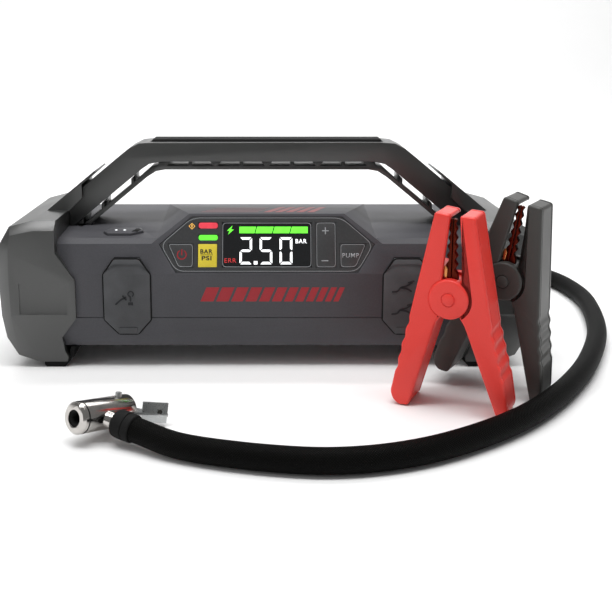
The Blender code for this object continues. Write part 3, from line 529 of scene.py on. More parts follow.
def inward(outline):
    """Unit vectors that point into a closed outline at each of its points."""
    along = np.roll(outline, -1, 0) - np.roll(outline, 1, 0)
    area = np.sum(outline[:, 0] * np.roll(outline[:, 1], -1) - np.roll(outline[:, 0], -1) * outline[:, 1])
    side = np.stack([-along[:, 1], along[:, 0]], -1) * np.sign(area)
    return side / np.maximum(np.linalg.norm(side, axis=1, keepdims=True), 1e-9)


def slab(outline, low, high, edge=0.0, steps=3):
    """A flat outline (mm) thickened from low to high, its top edge rounded by edge: rings at each height,
    each drawn in by the quarter circle edge - sqrt(edge^2 - height^2). Returns metres, z up."""
    outline = np.asarray(outline, float)
    if edge:
        a = np.linspace(0, pi / 2, steps + 1)
        rings = [(low, 0.0)] + [(high - edge + edge * sin(x), edge * (1 - cos(x))) for x in a]
    else:
        rings = [(low, 0.0), (high, 0.0)]
    into = inward(outline)
    rows = [np.column_stack([outline + into * draw, np.full(len(outline), z)]) for z, draw in rings]
    return capped_grid(np.array(rows) * MM)


def band(outline, width, low, high):
    """A closed frame line: the strip between an outline and the same drawn in by width."""
    outline = np.asarray(outline, float)
    inner = outline + inward(outline) * width
    rows = [(outline, low), (outline, high), (inner, high), (inner, low)]
    points = np.array([np.column_stack([ring, np.full(len(ring), z)]) for ring, z in rows]) * MM
    return points.reshape(-1, 3), grid_faces(*points.shape[:2], looped=True)


def turned_rings(profile, sides):
    """Rings of a turned surface: each (radius, height) of a profile carried round the Z axis."""
    profile = np.asarray(profile, float)
    angles = np.linspace(0, 2 * pi, sides, endpoint=False)
    radius, height = profile[:, 0][:, None], profile[:, 1][:, None]
    return np.stack([radius * np.cos(angles), radius * np.sin(angles),
                     np.broadcast_to(height, (len(profile), sides))], -1) * MM


def turned(profile, sides=64):
    """A turned solid; its profile ends on the axis, where the caps close it."""
    return capped_grid(turned_rings(profile, sides))


def along_axis(start_point, direction):
    """The place of a piece whose own Z axis runs from a point along a direction."""
    turn = Vector(direction).to_track_quat("Z", "Y").to_matrix().to_4x4()
    return Matrix.Translation(Vector(start_point)) @ turn


def several(parts):
    """Join (verts, faces) pairs into one."""
    verts, faces, shift = [], [], 0
    for points, quads in parts:
        verts.append(points)
        faces += [[i + shift for i in face] for face in quads]
        shift += len(points)
    return np.vstack(verts), faces


def catmull(points, count):
    """Even points along a Catmull-Rom curve through the given ones, as an array."""
    points = np.asarray(points, float)
    ends = np.vstack([2 * points[0] - points[1], points, 2 * points[-1] - points[-2]])
    t = np.linspace(0, 1, 40, endpoint=False)[None, :, None]
    p0, p1, p2, p3 = (ends[i:len(ends) - 3 + i, None] for i in range(4))
    fine = 0.5 * (2 * p1 + (p2 - p0) * t + (2 * p0 - 5 * p1 + 4 * p2 - p3) * t ** 2
                  + (3 * p1 - p0 - 3 * p2 + p3) * t ** 3)
    fine = np.vstack([fine.reshape(-1, points.shape[1]), points[-1:]])
    reach = np.r_[0, np.cumsum(np.linalg.norm(np.diff(fine, axis=0), axis=1))]
    want = np.linspace(0, reach[-1], count)
    return np.stack([np.interp(want, reach, fine[:, i]) for i in range(points.shape[1])], -1)


def swept(path, radius, sides):
    """Rings of a round tube along a path: each ring lies across the path, its sideways direction level
    with the floor, and its radius may vary along the path."""
    along = np.gradient(path, axis=0)
    along /= np.linalg.norm(along, axis=1, keepdims=True)
    side = np.cross(along, (0, 0, 1.0))
    side /= np.linalg.norm(side, axis=1, keepdims=True)
    up = np.cross(side, along)
    angles = np.linspace(0, 2 * pi, sides, endpoint=False)[None, :, None]
    radius = np.broadcast_to(radius, len(path))[:, None, None]
    return path[:, None] + radius * (np.cos(angles) * side[:, None] + np.sin(angles) * up[:, None])


# ---------------------------------------------------------------- sizes and colours

class JumpPackCamera(bpy.types.PropertyGroup):
    """Where the camera stands and how the light falls."""

    lens: FloatProperty(name="Lens", description="Focal length in millimetres", default=53.15)
    distance: FloatProperty(name="Distance", description="How far the camera stands in front of the origin",
                            default=0.5044, unit="LENGTH")
    height: FloatProperty(name="Height", description="Camera height", default=0.1881, unit="LENGTH")
    tilt: FloatProperty(name="Tilt", description="Downward tilt", default=radians(10.7), subtype="ANGLE")
    key_light: FloatProperty(name="Key light", description="Power of the large soft light in watts",
                             default=9.0)


class JumpPackColours(bpy.types.PropertyGroup):
    """Colours of the large mouldings."""

    housing_rgb: FloatVectorProperty(name="Housing", description="Slate grey of the housing",
                                     subtype="COLOR", size=3, default=linear("4D4D51")[:3])
    bumper_rgb: FloatVectorProperty(name="Bumpers", description="Grey of the end caps and the handle",
                                    subtype="COLOR", size=3, default=linear("303130")[:3])
    red_rgb: FloatVectorProperty(name="Red clamp", description="Red of the positive clamp",
                                 subtype="COLOR", size=3, default=linear("EC3F37")[:3])
    black_rgb: FloatVectorProperty(name="Black clamp", description="Black of the negative clamp",
                                   subtype="COLOR", size=3, default=linear("464644")[:3])


class JumpPackParts(bpy.types.PropertyGroup):
    """Sizes of the fine parts."""

    hose_diameter: FloatProperty(name="Hose diameter", description="Outside the braid", default=0.012,
                                 unit="LENGTH")
    ripples: IntProperty(name="Finger ripples", description="Scallops on each clamp handle", default=4)
    ripple_depth: FloatProperty(name="Ripple depth", description="Depth of one scallop", default=0.0007,
                                unit="LENGTH")


# ---------------------------------------------------------------- operators

SENSOR_WIDTH = 36
CAMERA_SHIFT = (0.064, -0.151)


class JUMPPACK_OT_camera(bpy.types.Operator):
    """Set up the camera that looks at the control panel"""

    bl_idname = "jumppack.camera"
    bl_label = "Camera"

    def execute(self, context):
        sizes = context.scene.jump_pack_camera
        data = bpy.data.cameras.new("camera")
        data.lens = sizes.lens
        data.sensor_width = SENSOR_WIDTH
        data.shift_x, data.shift_y = CAMERA_SHIFT
        data.clip_start = 0.01
        camera = bpy.data.objects.new("camera", data)
        context.scene.collection.objects.link(camera)
        camera.location = (0, -sizes.distance, sizes.height)
        camera.rotation_euler = (pi / 2 - sizes.tilt, 0, 0)
        context.scene.camera = camera
        return {"FINISHED"}


class JUMPPACK_OT_air_hose(bpy.types.Operator):
    """Lay the braided air hose and its two end sleeves"""

    bl_idname = "jumppack.air_hose"
    bl_label = "Air hose"

    def execute(self, context):
        make_air_hose(context.scene.jump_pack_parts.hose_diameter)
        make_chuck_trim()
        return {"FINISHED"}


HOSE_RINGS, HOSE_SIDES, SLEEVE_SIDES = 520, 40, 48
BRANCH_TO_SLEEVE = 11.8
END_SLEEVE_LONG = 15.6


def hose_tube(radius):
    """The hose's skin and its centreline: rings along the route."""
    path = in_pack(catmull(HOSE_ROUTE, HOSE_RINGS))
    verts, faces = capped_grid(swept(path, radius, HOSE_SIDES))
    return path, verts, faces


def map_hose(mesh, path, radius):
    """UV in millimetres from each corner's ring and side number; the last side's corners wrap on."""
    step = np.linalg.norm(path[1] - path[0]) / MM
    corner = np.zeros(len(mesh.loops), dtype=int)
    mesh.loops.foreach_get("vertex_index", corner)
    ring, side = corner // HOSE_SIDES, (corner % HOSE_SIDES).astype(float)
    quads = (HOSE_RINGS - 1) * HOSE_SIDES * 4
    wraps = side[:quads].reshape(-1, 4)
    wraps[(wraps.max(1) - wraps.min(1)) > 2] = [HOSE_SIDES - 1, HOSE_SIDES, HOSE_SIDES, HOSE_SIDES - 1]
    side[:quads] = wraps.ravel()
    sheet = mesh.uv_layers.new(name="UVMap")
    uv = np.column_stack([ring * step, side / HOSE_SIDES * 2 * pi * radius / MM])
    sheet.data.foreach_set("uv", uv.ravel())


def sleeve_profile(long, wide, narrow, ribs):
    """Strain relief: a moulded sleeve that tapers from wide to narrow, with shallow rings."""
    z = np.linspace(0, long, 60)
    share = z / long
    radius = wide + (narrow - wide) * share ** 1.5
    radius = radius + 0.18 * np.sin(share * ribs * 2 * pi) * (share > 0.1) * (share < 0.9)
    inner = narrow - 0.75
    round_in = [(inner, 0.0), (wide - 0.8, 0.0), (wide - 0.25, 0.2)]
    round_out = [(narrow - 0.3, long), (inner, long)]
    body = list(zip(radius[3:-2], z[3:-2]))
    return round_in + body + round_out


def make_air_hose(diameter):
    """The braided hose along its route, with the collar at the chuck and the sleeve at the loose end."""
    radius = diameter / 2
    path, verts, faces = hose_tube(radius)
    hose = new_piece("air_hose_braid", verts, faces, "hose_set", "hose_rubber", "hose_rubber")
    map_hose(hose.data, path, radius)
    outwards(hose)
    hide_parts("air_hose")

    branch = Vector(in_pack([CHUCK_BRANCH])[0])
    begin, direction = Vector(path[0]), (Vector(path[0]) - branch).normalized()
    low = branch + direction * BRANCH_TO_SLEEVE * MM
    long = (begin - low).length / MM - 0.4
    collar = [(5.0, 0), (5.9, 0.1), (6.6, 0.9), (6.9, 2.4), (6.9, long * 0.6), (6.5, long * 0.62),
              (6.5, long * 0.66), (6.85, long * 0.69), (6.75, long - 0.5), (6.3, long), (5.0, long)]
    front = turned_tube("hose_sleeve_moulded", collar, low, direction)
    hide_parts("hose_sleeve")
    tail = (Vector(path[-1]) - Vector(path[-2])).normalized()
    rear = turned_tube("hose_end_sleeve_moulded", sleeve_profile(END_SLEEVE_LONG, 6.1, 6.7, 5),
                       Vector(path[-1]) + tail * 16 * MM, -tail)
    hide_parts("hose_end_sleeve")


# Where the lever's hole sits and which way it faces; the dark disc there is painted shade
LEVER_HOLE_SHADE, LEVER_FACING = (-27.4, 15.1, 1.4), (0.598, 0.802, 0)


def make_chuck_trim():
    """The chuck's rubber valve seal, a cup down its bore, its dark front ring and a dark domed disc of
    painted shade in the lever's hole.
    """
    place = chuck_frame()
    forward = place @ Matrix.Rotation(pi / 2, 4, "Y")
    cup = [(0, 5.8), (4.0, 5.8), (4.0, 13.6), (3.6, 13.9), (2.9, 13.4), (2.6, 12.6), (2.6, 6.6), (0, 6.6)]
    solid_piece("chuck_valve_seal", turned(cup, 40), "hose_set", "black_rubber", None, forward)
    ring = turned_tube("chuck_front_ring", [(7.4, 10.9), (7.84, 10.9), (7.84, 11.6), (7.4, 11.6)],
                       (0, 0, 0), (0, 0, 1))
    ring.data.transform(forward)
    # A dark domed disc in the lever's hole: painted shade, not a rivet
    hole_shade = [(0, -0.6), (1.25, -0.6), (1.25, 0.1), (1.0, 0.28), (0, 0.3)]
    solid_piece("chuck_lever_hole_shade", turned(hole_shade, 24), "chuck_lever", "dark_ink", None,
                place @ along_axis(Vector(LEVER_HOLE_SHADE) * MM, LEVER_FACING))


def turned_tube(name, profile, start_point, direction):
    """A turned rubber piece that closes on itself: the profile's last corner joins its first."""
    rings = turned_rings(profile, SLEEVE_SIDES)
    return solid_piece(name, (rings.reshape(-1, 3), grid_faces(*rings.shape[:2], looped=True)), "hose_set",
                       "black_rubber", None, along_axis(start_point, direction))


class JUMPPACK_OT_finishes(bpy.types.Operator):
    """Give every part of the frame its material and its rounded edges"""

    bl_idname = "jumppack.finishes"
    bl_label = "Finishes"

    def execute(self, context):
        group = smooth_group()
        slots = {s["node"]: s["material_slot"] for s in frame["record"]["subparts"]}
        for node, thing in NODES.items():
            width, segments = EDGES.get(node, PLAIN_EDGE)
            finish_node(node, width, segments, group)
            paint(thing, NODE_FINISH.get(node, slots[node]))
        return {"FINISHED"}


NODE_FINISH = {"power_key": "key_plastic", "pump_key": "key_plastic", "plus_minus_rocker": "key_plastic",
               "lamp_button": "housing_plastic"}


# ---------------------------------------------------------------- clamps

LEFT_ARM = [(-8.7, 44.5), (-20.2, -10.6), (-24.6, -29.4), (-29.5, -54), (-28, -58), (-25, -60.5),
            (-19.5, -60.2), (-6.5, -13)]
LEFT_MOUTH = [(-3.7, 14.7), (-0.8, 43.4)]
RIGHT_ARM = [(6.6, 14.7), (4.0, 43.4), (11.7, 42.9), (22.2, -12.8), (29.5, -40.5), (32.2, -56), (31.2, -59),
             (29, -60.5), (27.2, -60.5), (8.4, -13)]


def arc(radius, first, last, count):
    """Points on a circle round the pivot, angles in degrees."""
    angles = np.radians(np.linspace(first, last, count))
    return np.column_stack([radius * np.cos(angles), radius * np.sin(angles)])


def rippled(outline, start_point, end_point, count, depth):
    """Scallops on the outline where it runs beside one straight edge: a cosine wave, drawn inwards,
    that dies away at both ends."""
    a, b = np.array(start_point, float), np.array(end_point, float)
    long = np.linalg.norm(b - a)
    along = (b - a) / long
    rel = outline - a
    share = rel @ along / long
    off = np.abs(rel @ np.array([-along[1], along[0]]))
    near = (off < 1.2) & (share > 0) & (share < 1)
    wave = depth * 0.5 * (1 - np.cos(2 * pi * count * share))
    return outline + inward(outline) * np.where(near, wave, 0)[:, None]


def depth_profile(half):
    """(depth, inset) across the clamp from its front face to its back face, in millimetres: rounded
    rims, a groove behind each face plate and a slightly waisted middle."""
    rim = [(-half + 1.2 * (1 - cos(a)), 1.2 * (1 - sin(a))) for a in np.linspace(0, pi / 2, 5)]
    plate = [(-half + 2.5, 0.0), (-half + 2.7, 1.1), (-half + 3.3, 1.1), (-half + 3.5, 0.1)]
    middle_rows = [(y, 0.1) for y in np.linspace(-half + 5.2, 0, 4)]
    front = rim + plate + middle_rows
    return front + [(-y, inset) for y, inset in reversed(front[:-1])]


# The inner line of each jaw shell's outer wall, from its foot to its tip, behind the face plate
WALL_LINES = {"fixed": ((-10.6, 16), (-4.9, 41)), "moving": ((12.6, 16), (8, 41))}
# The straight outer edge of each grip that carries the finger ripples
GRIP_EDGES = {"fixed": ((-20.2, -10.6), (-27.4, -43)), "moving": ((22.2, -12.8), (29.5, -40.5))}
FACE_PLATE = 3.2
ARM_CORNER = 1.6


def hollowed(ring, wall):
    """Draw the mouth's edge of a ring back to the shell's outer wall. The wall's line gives X from Z, and
    the pull fades out over 1 mm at its foot and its tip."""
    (x0, z0), (x1, z1) = wall
    line = x0 + (x1 - x0) * (ring[:, 1] - z0) / (z1 - z0)
    side = np.sign(x0)
    pull = np.clip(ring[:, 1] - z0 + 0.5, 0, 1) * np.clip(z1 + 0.5 - ring[:, 1], 0, 1)
    inside = side * (ring[:, 0] - line) < 0
    moved = ring.copy()
    moved[:, 0] += np.where(inside, (line - ring[:, 0]) * pull, 0)
    return moved


def arm_solid(outline, half, wall):
    """An arm: its outline carried from front to back, drawn in by the depth profile, its jaw open to
    the mouth behind the face plate. Returns metres in the clamp's frame, X across, Y deep, Z up."""
    into = inward(outline)
    rows = []
    for y, inset in depth_profile(half):
        ring = outline + into * inset
        if y > FACE_PLATE - half:
            ring = hollowed(ring, wall)
        rows.append(np.column_stack([ring[:, 0], np.full(len(ring), y), ring[:, 1]]))
    return capped_grid(np.array(rows) * MM)


def disc_lug(low, high, radius, rise):
    """A pivot lug: a turned disc with a rounded rim, a ring groove round the pin and a small boss."""
    top = high
    profile = [(0, low), (radius, low), (radius, top - 1.4)]
    profile += [(radius - 1.4 * (1 - cos(a)), top - 1.4 + 1.4 * sin(a)) for a in np.linspace(0.3, pi / 2, 5)]
    profile += [(5.2, top), (3.75, top), (3.55, top - 0.35), (3.2, top - 0.35), (3.0, top + rise * 0.6),
                (2.6, top + rise), (0, top + rise)]
    return turned(profile, 72)


def toothed_bar(side):
    """One copper jaw: a straight inner edge near the mouth's middle line and round-cornered teeth that
    grow towards the pivot."""
    middle_line, foot, pitch, teeth = 0.1, 12.6, 4.6, 6
    inner = middle_line + side * 0.15
    corners = [(inner, foot - 3.2), (inner, foot + teeth * pitch + 1)]
    for i in range(teeth, -1, -1):
        tooth = 3.2 - 1.2 * i / teeth
        corners.append((middle_line + side * tooth, foot + 0.3 + i * pitch))
        if i:
            corners.append((middle_line + side * tooth * 0.5, foot + 0.3 + (i - 0.5) * pitch))
    corners.append((middle_line + side * 3.4, foot - 3.2))
    return rounded(corners, 0.55, 4)


def root_clip():
    """The folded copper clip at the fixed jaw's foot, its bright orange copper a painted highlight."""
    return rounded([(-3.6, 10.6), (-1.9, 10.4), (-1.7, 15.6), (-3.0, 17.2), (-3.9, 16)], 0.6, 4)


def make_clamp(colour, ripples, ripple_depth):
    """One clamp's arms, pivot lugs, middle boss, toothed jaws and root clip."""
    place = clamp_frame(colour)
    half = CLAMP_DEPTH / 2 - 0.1
    flip = Matrix.Rotation(pi / 2, 4, "X")
    finish = f"{colour}_plastic"
    bodies = {"fixed": f"{colour}_clamp", "moving": f"{colour}_clamp_grip"}
    outlines = {"fixed": np.vstack([LEFT_ARM, arc(9.9, -112, -246, 26), LEFT_MOUTH]),
                "moving": np.vstack([arc(10.7, -58, 60, 26), RIGHT_ARM])}
    for name, corners in outlines.items():
        outline = evenly(rounded(corners, ARM_CORNER, 6), 420)
        outline = rippled(outline, *GRIP_EDGES[name], ripples, ripple_depth / MM)
        arm = solid_piece(f"{colour}_clamp_{name}_grip", arm_solid(outline, half, WALL_LINES[name]),
                          bodies[name], finish, finish, place)
        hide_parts(f"{colour}_clamp_{name}_arm")
    lug = disc_lug(6.6, half + 0.85, 10.4, 0.5)
    for label, turn in (("front", flip), ("back", Matrix.Rotation(-pi / 2, 4, "X"))):
        solid_piece(f"{colour}_clamp_{label}_lug", lug, bodies["fixed"], finish, finish, place @ turn)
    angles = np.linspace(-pi, pi, 90, endpoint=False)
    reach = 9.0 + 2.2 * np.clip((np.cos(angles) - 0.5) / 0.25, 0, 1)
    boss = np.column_stack([reach * np.cos(angles), reach * np.sin(angles)])
    solid_piece(f"{colour}_clamp_middle_boss", slab(boss, -6.0, 6.0), bodies["moving"], finish, finish,
                place @ flip)
    front = half - FACE_PLATE - 0.2
    for name, side in (("fixed", -1), ("moving", 1)):
        # The teeth's dark brown copper is painted shade
        jaw = solid_piece(f"{colour}_clamp_{name}_teeth", slab(toothed_bar(side), front - 2.9, front, 0.35),
                          bodies[name], "copper", "copper", place @ flip)
        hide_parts(f"{colour}_clamp_{name}_jaw")
    # The root clip's bright copper is a painted highlight
    solid_piece(f"{colour}_clamp_root_clip", slab(root_clip(), front - 2.4, front + 0.6, 0.3),
                bodies["fixed"], "worn_copper", "copper", place @ flip)


class JUMPPACK_OT_clamps(bpy.types.Operator):
    """Build the grips, lugs and copper roots of both battery clamps"""

    bl_idname = "jumppack.clamps"
    bl_label = "Battery clamps"

    def execute(self, context):
        sizes = context.scene.jump_pack_parts
        for colour in CLAMPS:
            make_clamp(colour, sizes.ripples, sizes.ripple_depth)
        return {"FINISHED"}


# ---------------------------------------------------------------- control panel markings

PANEL_OUTLINE = [(-52.5, 1.2), (-62, 17.1), (-43.5, 33.1), (43.5, 33.1), (62, 17.1), (52.5, 1.2)]
POWER_KEY = [(-57.1, 17.4), (-42.7, 17.4), (-42.7, 4), (-51, 4)]
ROCKER = [(28.6, 29.9), (39.8, 29.9), (39.8, 3.9), (28.6, 3.9)]
PUMP_KEY = [(42.5, 17.4), (57.3, 17.4), (51.3, 4), (42.5, 4)]
WINDOW = [(-25.8, 29.9), (25.8, 29.9), (25.8, 3.9), (-25.8, 3.9)]
INK = 0.07
PANEL_FACE, KEY_FACE = -0.1, 0.1
# Frame lines: piece, outline, how far it is drawn in, corner radius, line width, face and body
FRAME_LINES = [
    ("panel_frame_line", PANEL_OUTLINE, 0.35, 5, 0.24, PANEL_FACE, "pack"),
    ("window_frame_line", WINDOW, 0.15, 2.4, 0.26, PANEL_FACE, "pack"),
    ("power_key_line", POWER_KEY, 0.15, 2.2, 0.22, KEY_FACE, "power_key"),
    ("pump_key_line", PUMP_KEY, 0.15, 2.2, 0.22, KEY_FACE, "pump_key"),
    ("rocker_line", ROCKER, 0.15, 2.2, 0.22, KEY_FACE, "rocker"),
]
# Words on the keys: piece, words, lower left, upper right, body, ink and stroke weight
KEY_LEGENDS = [
    ("pump_legend", "PUMP", (43.6, 9.5), (53.2, 12.1), "pump_key", "line_ink", 0.01),
    ("pressure_unit_upper", "BAR", (-38.4, 11.8), (-31.3, 14.4), "unit_key", "dark_ink", 0.03),
    ("pressure_unit_lower", "PSI", (-37.6, 7.9), (-31.9, 10.5), "unit_key", "dark_ink", 0.03),
]
# Rounded lenses: the node each one replaces, its rectangle and its finish
LENSES = [("alarm_light", (-39.5, 26.5, -28.4, 29.9), "red_light"),
          ("ready_light", (-39.5, 19.6, -28.4, 22.7), "green_light")]


def mark(name, solid, body, finish):
    """A printed or lit mark on the panel."""
    return solid_piece(name, solid, body, finish, None, PANEL_PLANE, False)


def key_ink(outline):
    """A flat shape printed on a key."""
    return slab(outline, KEY_FACE - 0.05, KEY_FACE + INK)


def screen_ink(outline):
    """A flat lit shape of the display."""
    return slab(outline, -0.15, PANEL_FACE + INK)


def frame_line(corners, draw, radius, width, face):
    """A pale rounded frame line, drawn in from an outline."""
    outline = evenly(rounded(corners, radius, 6), 160)
    outline = outline + inward(outline) * draw
    return band(outline, width, face - 0.1, face + INK)


def lettering(name, words, low, high, body, finish, weight, face):
    """Plain generic words, stretched to fill the box from low to high on the panel, in millimetres, and
    made a mesh in place. weight thickens the strokes, as a share of the letters' height."""
    curve = bpy.data.curves.new(name, "FONT")
    curve.body = words
    curve.size = 1
    curve.space_character = 1.12
    curve.offset = weight
    curve.resolution_u = 4
    holder = bpy.data.objects.new(name, curve)
    bpy.context.scene.collection.objects.link(holder)
    mesh = bpy.data.meshes.new_from_object(holder.evaluated_get(bpy.context.evaluated_depsgraph_get()))
    bpy.data.objects.remove(holder)
    bpy.data.curves.remove(curve)
    flat = np.zeros(len(mesh.vertices) * 3)
    mesh.vertices.foreach_get("co", flat)
    flat = flat.reshape(-1, 3)[:, :2]
    least, most = flat.min(0), flat.max(0)
    stretch = np.subtract(high, low) / (most - least)
    shift = np.array(low) - least * stretch
    fit = (Matrix.Translation((shift[0] * MM, shift[1] * MM, (face + INK) * MM))
           @ Matrix.Diagonal((stretch[0] * MM, stretch[1] * MM, 1, 1)))
    mesh.transform(PANEL_PLANE @ fit)
    mesh.materials.clear()
    mesh.materials.append(FINISHES[finish])
    thing = bpy.data.objects.new(name, mesh)
    bpy.context.scene.collection.objects.link(thing)
    backing = thing.modifiers.new("ink_depth", "SOLIDIFY")
    backing.thickness = 0.12 * MM
    backing.offset = -1
    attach(thing, body)
    return thing


# Seven-segment digit: bars as (first corner, last corner) on a unit cell 0..1 by 0..1
SEGMENTS = {
    "a": [(0.02, 1), (0.98, 1), (0.8, 0.9), (0.2, 0.9)], "d": [(0.2, 0.1), (0.8, 0.1), (0.98, 0), (0.02, 0)],
    "g": [(0.04, 0.5), (0.2, 0.55), (0.8, 0.55), (0.96, 0.5), (0.8, 0.45), (0.2, 0.45)],
    "b": [(1, 0.98), (1, 0.53), (0.93, 0.51), (0.8, 0.57), (0.8, 0.89)],
    "c": [(1, 0.47), (1, 0.02), (0.8, 0.11), (0.8, 0.43), (0.93, 0.49)],
    "e": [(0, 0.47), (0.07, 0.49), (0.2, 0.43), (0.2, 0.11), (0, 0.02)],
    "f": [(0, 0.98), (0.2, 0.89), (0.2, 0.57), (0.07, 0.51), (0, 0.53)],
}
DIGITS = {"2": "abged", "5": "afgcd", "0": "abcdef"}


def digit(shape, left, right, low, high):
    """The lit bars of one digit."""
    bars = []
    for bar in DIGITS[shape]:
        corners = [(left + x * (right - left), low + y * (high - low)) for x, y in SEGMENTS[bar]]
        bars.append(screen_ink(shrunk(corners, 0.3)))
    return several(bars)


def shrunk(corners, gap):
    """Pull a small outline in towards its own middle."""
    corners = np.asarray(corners, float)
    centre = corners.mean(0)
    away = corners - centre
    long = np.maximum(np.linalg.norm(away, axis=1, keepdims=True), 1e-6)
    return centre + away * np.maximum(1 - gap / long, 0.3)


def make_panel_marks():
    """Frame lines, key signs, key words and light lenses, then the display."""
    for name, corners, draw, radius, width, face, body in FRAME_LINES:
        mark(name, frame_line(corners, draw, radius, width, face), body, "line_ink")
    ring = np.vstack([arc(2.85, 118, 422, 48), arc(2.25, 422, 118, 48)]) + (-49.1, 11.2)
    bar = rounded(rectangle(-49.42, 10.8, -48.78, 14.4), 0.25, 3)
    mark("power_icon", several([key_ink(ring), key_ink(bar)]), "power_key", "red_ink")
    upright = np.array(rectangle(-0.3, -2.0, 0.3, 2.0))
    across = np.array(rectangle(-1.95, -0.28, 1.95, 0.28))
    plus, minus = (33.9, 25.1), (33.5, 7.7)
    glyphs = [key_ink(upright + plus), key_ink(across + plus), key_ink(across + minus)]
    mark("plus_minus_glyphs", several(glyphs), "rocker", "line_ink")
    for legend in KEY_LEGENDS:
        lettering(*legend, KEY_FACE)
    mark("pressure_unit_rule", key_ink(rectangle(-38.4, 10.98, -31, 11.22)), "unit_key", "dark_ink")
    for node, sides, finish in LENSES:
        lens = mark(f"{node}_lens", slab(rounded(rectangle(*sides), 1.9, 8), -1.1, 0.1, 0.35), "pack", finish)
        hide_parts(node)
    make_display()


def make_display():
    """Lit marks of the display: charge bar, bolt, three digits, pressure unit and error word."""
    gaps = [-15.9, -6.4, 3.75, 13.75, 23.7]
    slant = 0.5
    blocks = []
    for i, (left, right) in enumerate(zip(gaps, gaps[1:])):
        a = left + (0.3 if i else 0)
        b = right - (0.3 if i < 3 else 0)
        low_slant, high_slant = (-slant if i else 0), (slant if i < 3 else 0)
        corners = [(a + low_slant, 23.7), (b - high_slant, 23.7), (b + high_slant, 27.5),
                   (a + (slant if i else 0), 27.5)]
        blocks.append(screen_ink(corners))
    mark("charge_bar", several(blocks), "pack", "green_segment")
    bolt = [(-19.9, 28.1), (-23.1, 25.1), (-21.5, 25.1), (-22.5, 22.9), (-19.1, 25.9), (-20.8, 25.9)]
    mark("charge_bolt", screen_ink(bolt), "pack", "green_segment")
    cells = [("2", -15.8, -8.5), ("5", -4.2, 3.2), ("0", 7.3, 14.8)]
    digits = [digit(shape, left, right, 5.6, 21.4) for shape, left, right in cells]
    digits.append(screen_ink(rectangle(-7.5, 5.6, -5.4, 7.5)))
    mark("pressure_digits", several(digits), "pack", "white_segment")
    lettering("display_unit", "BAR", (16.6, 17.8), (23.1, 20.3), "pack", "white_segment", 0.008, PANEL_FACE)
    lettering("display_error", "ERR", (-24.4, 6.6), (-17.7, 9.1), "pack", "red_segment", 0, PANEL_FACE)
    diamond = [(-43.4, 25.9), (-41.5, 27.8), (-43.4, 29.7), (-45.3, 27.8)]
    mark("alarm_diamond", band(diamond, 0.4, PANEL_FACE - 0.1, PANEL_FACE + INK), "pack", "amber_segment")
    tick = [(-43.6, 26.9), (-43.2, 26.9), (-43.1, 28.7), (-43.7, 28.7)]
    mark("alarm_tick", slab(tick, PANEL_FACE - 0.1, PANEL_FACE + INK), "pack", "amber_segment")


# ---------------------------------------------------------------- covers, stripes and small mouldings

FRONT_PLANE = (Matrix.Translation(Vector((0, -53 + PACK_Y, 0)) * MM) @ Matrix.Rotation(pi / 2, 4, "X"))
LOWER_LEAN = atan2(4.01, 13.6)
LOWER_PLANE = (Matrix.Translation(Vector((0, -53 + PACK_Y, 31.3)) * MM)
               @ Matrix.Rotation(pi / 2 + LOWER_LEAN, 4, "X"))
TOP_SLOPE = atan2(-10.1, 89.0)
TOP_PLANE = (Matrix.Translation(Vector((0, -41.96 + PACK_Y, 90.62)) * MM)
             @ Matrix.Rotation(TOP_SLOPE, 4, "X"))
COVER_FACE = 0.7


def stroke(points, width):
    """A thick line with round ends along a smooth route, as a closed outline."""
    line = catmull(points, 24)
    along = np.gradient(line, axis=0)
    along /= np.linalg.norm(along, axis=1, keepdims=True)
    side = np.column_stack([-along[:, 1], along[:, 0]]) * width / 2
    turn = np.linspace(pi / 2, -pi / 2, 8)[1:-1, None]
    far = line[-1] + np.cos(turn) * along[-1] * width / 2 + np.sin(turn) * side[-1]
    near = line[0] - np.cos(turn) * along[0] * width / 2 - np.sin(turn) * side[0]
    return np.vstack([line + side, far, (line - side)[::-1], near])


def cover_gap_line():
    """The line of the gap just outside a port cover, where a thin black tube paints its shade: its rounded
    outline on the front, which leans back below the crease."""
    corners = [(-5.6, 20.6), (-13.4, 30), (-13.4, 57), (-7.1, 66), (7.1, 66), (13.4, 57), (13.4, 30),
               (5.6, 20.6)]
    line = evenly(rounded(corners, 1.2, 5), 200)
    line = line - inward(line) * 0.35
    back = np.clip(31.3 - line[:, 1], 0, None) * tan(LOWER_LEAN)
    return np.column_stack([line[:, 0], back - 53.05, line[:, 1]])


def closed_tube(path, radius, sides):
    """A round tube along a closed path that lies nearly upright: each ring stands across the path, with
    one direction front to back."""
    along = np.roll(path, -1, 0) - np.roll(path, 1, 0)
    along /= np.linalg.norm(along, axis=1, keepdims=True)
    deep = np.array((0, 1.0, 0)) - along * along[:, 1:2]
    deep /= np.linalg.norm(deep, axis=1, keepdims=True)
    across = np.cross(along, deep)
    angles = np.linspace(0, 2 * pi, sides, endpoint=False)[None, :, None]
    return path[:, None] + radius * (np.cos(angles) * across[:, None] + np.sin(angles) * deep[:, None])


def raised(outline):
    """A flat shape that stands 0.3 mm proud of a port cover."""
    return slab(outline, COVER_FACE - 0.1, COVER_FACE + 0.3)


